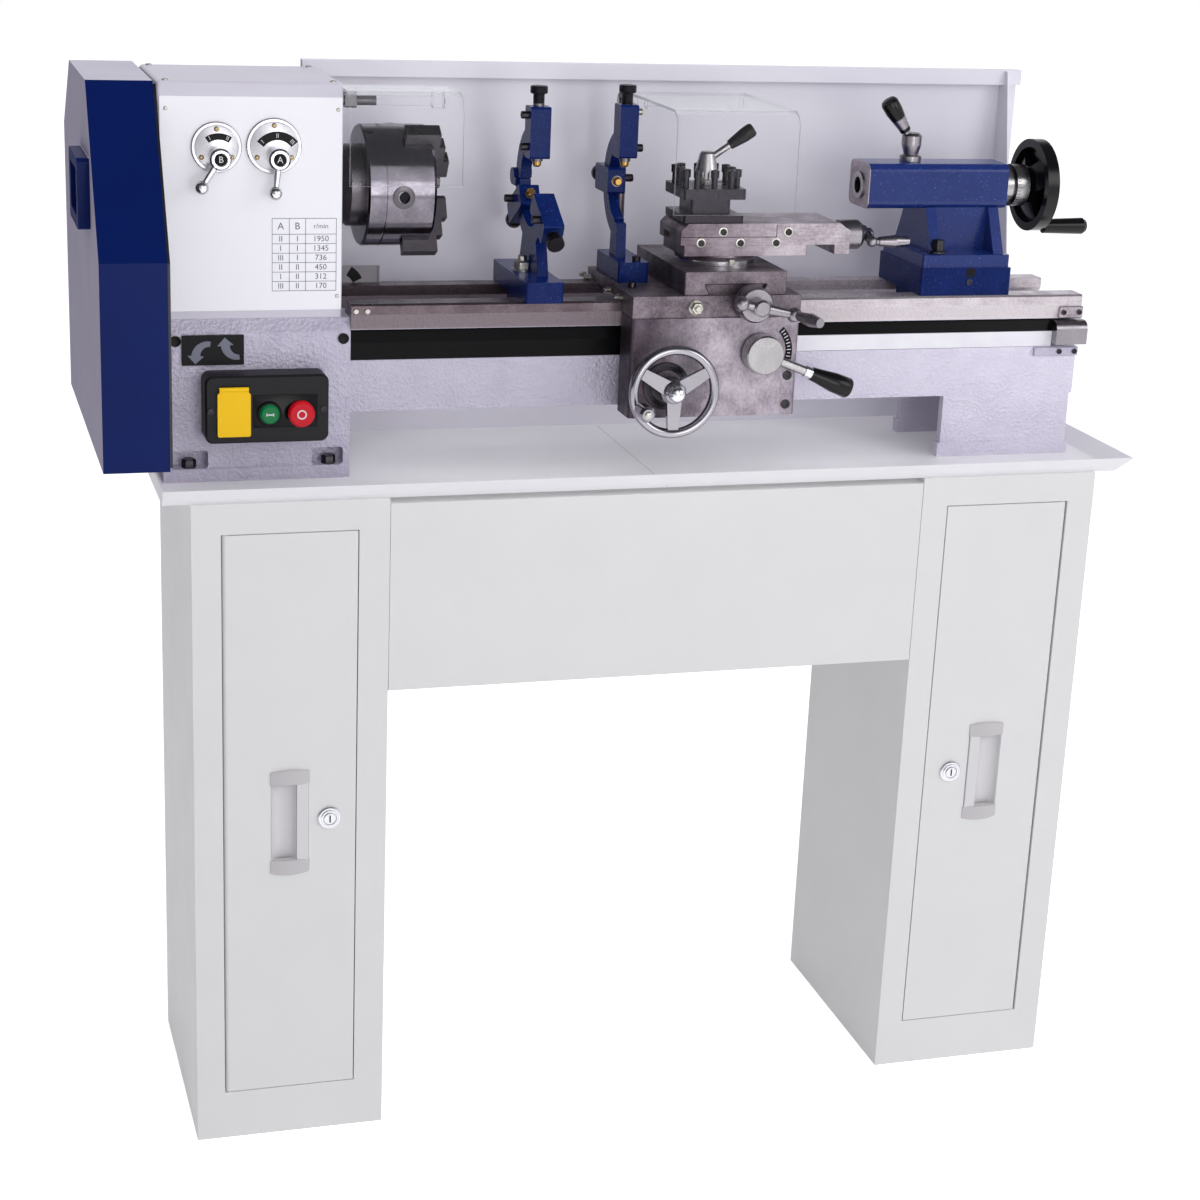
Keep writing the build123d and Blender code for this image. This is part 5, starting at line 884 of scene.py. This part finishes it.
collar = turned([(9.0, -0.1), (19.3, -0.1), (19.3, 13.5), (dial_radius, 14.0), (dial_radius, 29.0),
                 (22.6, 29.8), (9.0, 29.8)], (752.6, 0.0, axis_z), rightward, 72)
piece("tail_dial", [collar], "tail_wheel", turned_steel)
marks = dial_lines((767.2, 0.0, axis_z), rightward, (0, 1, 0), dial_radius, 0.55, 3.6, 6.0)
piece("tail_dial_marks", marks, "tail_wheel", etched)
grip = sleeve((644.0, 0.0, base_z + 344), (-34.0, -6.0, 44.0),
              ((41, 5.0), (41, 6.2), (34, 6.6), (14, 9.7), (3, 9.7), (0.3, 8.2), (-0.4, 5.0), (-0.5, 0.2)))
piece("quill_lock_grip", [grip], "quill_lock", grip_black)
# the offset notch is a black plate, painted shade standing for the recess
notch_shade = plate((10.0, 9.5, 0.6), ((0, -0.3), (0, 0.25)), (700.6, base_side, base_z + 208.0))
piece("tail_offset_notch_shade", [notch_shade], "tailstock", etched)
clamp = [turned([(10.0, -0.5), (10.0, 1.6), (9.4, 2.0), (5.0, 2.0)], (664.0, -48.0, base_z + 229.0), upward),
         hex_nut((664.0, -48.0, base_z + 230.8), upward, 13.0, 12.0)]
piece("tail_clamp_nut", clamp, "tailstock", black_oxide)
offset = socket_screw((699.8, base_side, base_z + 197.5), front, 3.4, 1.2)
piece("tail_offset_screw", [offset], "tailstock", black_oxide)

# Bed end: two small keeper plates at the tailstock end, the upper of milled iron and the lower painted
# as the base is, each held by two black cap screws.
upper = plate((29, 13, 1.2), ((0, -2.0), (0, 4.0), (0.8, 4.8)), (825.0, -62.6, base_z + 163.5))
piece("keeper_upper", [upper], "machine", slide_iron)
lower = plate((54, 10, 1.0), ((0, -0.5), (0, 3.0), (0.6, 3.6)), (812.0, -62.0, base_z + 118.5))
piece("keeper_lower", [lower], "machine", base_paint)
screws = [socket_screw((x, y, base_z + h), front, 3.0, 1.6) for x, y, h in
          ((815.5, -67.3, 163.5), (834.5, -67.3, 163.5), (815.3, -65.6, 118.7), (834.2, -65.6, 118.7))]
piece("keeper_screws", screws, "machine", black_oxide)

# Studio: a pale seamless paper floor, soft lights above the operator, from the right, low in front and
# overhead, and a surround that metal shows white at floor level and darker above and on the left. The one
# overhead throws no shadow, and a weak one under the bed stands for light thrown back by the pale tray.
floor_pale, tree, _ = finish_of("seamless_paper")
path = add(tree, "LightPath")
in_view = {0: path.outputs["Is Camera Ray"], 1: path.outputs["Is Transmission Ray"]}
direct = add(tree, "Math", in_view, operation="MAXIMUM")
seen = add(tree, "Math", {0: direct, 1: path.outputs["Is Glossy Ray"]}, operation="MAXIMUM")
glow = add(tree, "Math", {0: seen, 1: 0.62}, operation="MULTIPLY")
paper = add(tree, "BsdfPrincipled", {
    "Base Color": srgb("#FAFAFA"), "Roughness": 0.9, "Emission Color": srgb("#FFFFFF"),
    "Emission Strength": glow})
add(tree, "OutputMaterial", {0: paper})
reach = np.linspace(-14.0, 14.0, 3)
points, faces = grid(np.stack(np.meshgrid(reach, reach, indexing="xy") + [np.zeros((3, 3))], -1))
mesh = bpy.data.meshes.new("studio_floor")
mesh.from_pydata(points.tolist(), [], faces)
mesh.materials.append(floor_pale)
floor = bpy.data.objects.new("studio_floor", mesh)
bpy.context.scene.collection.objects.link(floor)
world = bpy.data.worlds.new("studio")
bpy.context.scene.world = world
world.use_nodes = True
tree = world.node_tree
tree.nodes.clear()
path = add(tree, "LightPath")
in_view = {0: path.outputs["Is Camera Ray"], 1: path.outputs["Is Transmission Ray"]}
seen = add(tree, "Math", in_view, operation="MAXIMUM")
toward = add(tree, "SeparateXYZ", {0: add(tree, "TexCoord").outputs["Generated"]})
by_height = add(tree, "MapRange", {0: toward.outputs[2], 1: 0.34, 2: 0.7, 3: 1.0, 4: 0.12})
by_side = add(tree, "MapRange", {0: toward.outputs[0], 1: -0.9, 2: -0.1, 3: 0.12, 4: 1.0})
mirrored = add(tree, "Math", {0: by_height, 1: by_side}, operation="MULTIPLY")
ambient = add(tree, "MapRange", {0: toward.outputs[0], 1: -1.0, 2: 1.0, 3: 0.3, 4: 0.85})
level = add(tree, "Mix", {0: path.outputs["Is Glossy Ray"], 2: ambient, 3: mirrored})
dim = add(tree, "Background", {"Color": srgb("#F4F4FA"), "Strength": level})
white = add(tree, "Background", {"Color": srgb("#FFFFFF"), "Strength": 1.0})
both = add(tree, "MixShader", {0: seen, 1: dim, 2: white})
add(tree, "OutputWorld", {0: both})
for name, spot, aim, size, power, shown, shading in (
        ("key", (0.2, -3.0, 2.5), (0.3, 0.0, 0.9), (2.2, 2.2), 10.0, True, True),
        ("fill", (2.6, -2.2, 2.0), (0.4, 0.0, 0.9), (1.8, 1.8), 20.0, True, True),
        ("low", (0.7, -3.2, 1.05), (0.3, 0.0, 0.8), (1.4, 1.4), 15.0, True, True),
        ("top", (0.3, -0.3, 3.4), (0.3, 0.0, 0.9), (3.0, 3.0), 22.0, False, False),
        ("bounce", (0.33, -0.01, deck + 0.035), (0.33, -0.01, 0.0), (0.64, 0.36), 0.12, False, False)):
    lamp = bpy.data.lights.new(name, "AREA")
    lamp.shape = "ELLIPSE"
    lamp.size, lamp.size_y = size
    lamp.energy = power
    lamp.use_shadow = shading
    stand = bpy.data.objects.new(name, lamp)
    stand.location = spot
    stand.visible_camera = False
    stand.visible_glossy = shown
    stand.rotation_euler = (Vector(aim) - Vector(spot)).to_track_quat("-Z", "Y").to_euler()
    bpy.context.scene.collection.objects.link(stand)
bpy.context.scene.view_settings.view_transform = "Standard"

# Camera: where the photographer stood, a little left of the middle and above the bench, level but
# for a slight roll. Its angle of view takes in the whole square picture.
eye = Vector((-0.4462, -2.4505, 1.3727))
yaw, pitch, roll = np.radians((17.10, 17.79, 2.48))
ahead = Vector((np.sin(yaw) * np.cos(pitch), np.cos(yaw) * np.cos(pitch), -np.sin(pitch)))
level = Vector((np.cos(yaw), -np.sin(yaw), 0.0))
above = level.cross(ahead)
right = np.cos(roll) * level + np.sin(roll) * above
up = np.cos(roll) * above - np.sin(roll) * level
lens = bpy.data.cameras.new("photographer")
lens.sensor_fit = "HORIZONTAL"
lens.angle = np.radians(28.249)
camera = bpy.data.objects.new("photographer", lens)
turn = Matrix((right, up, -ahead)).transposed().to_4x4()
camera.matrix_world = Matrix.Translation(eye) @ turn
bpy.context.scene.collection.objects.link(camera)
bpy.context.scene.camera = camera
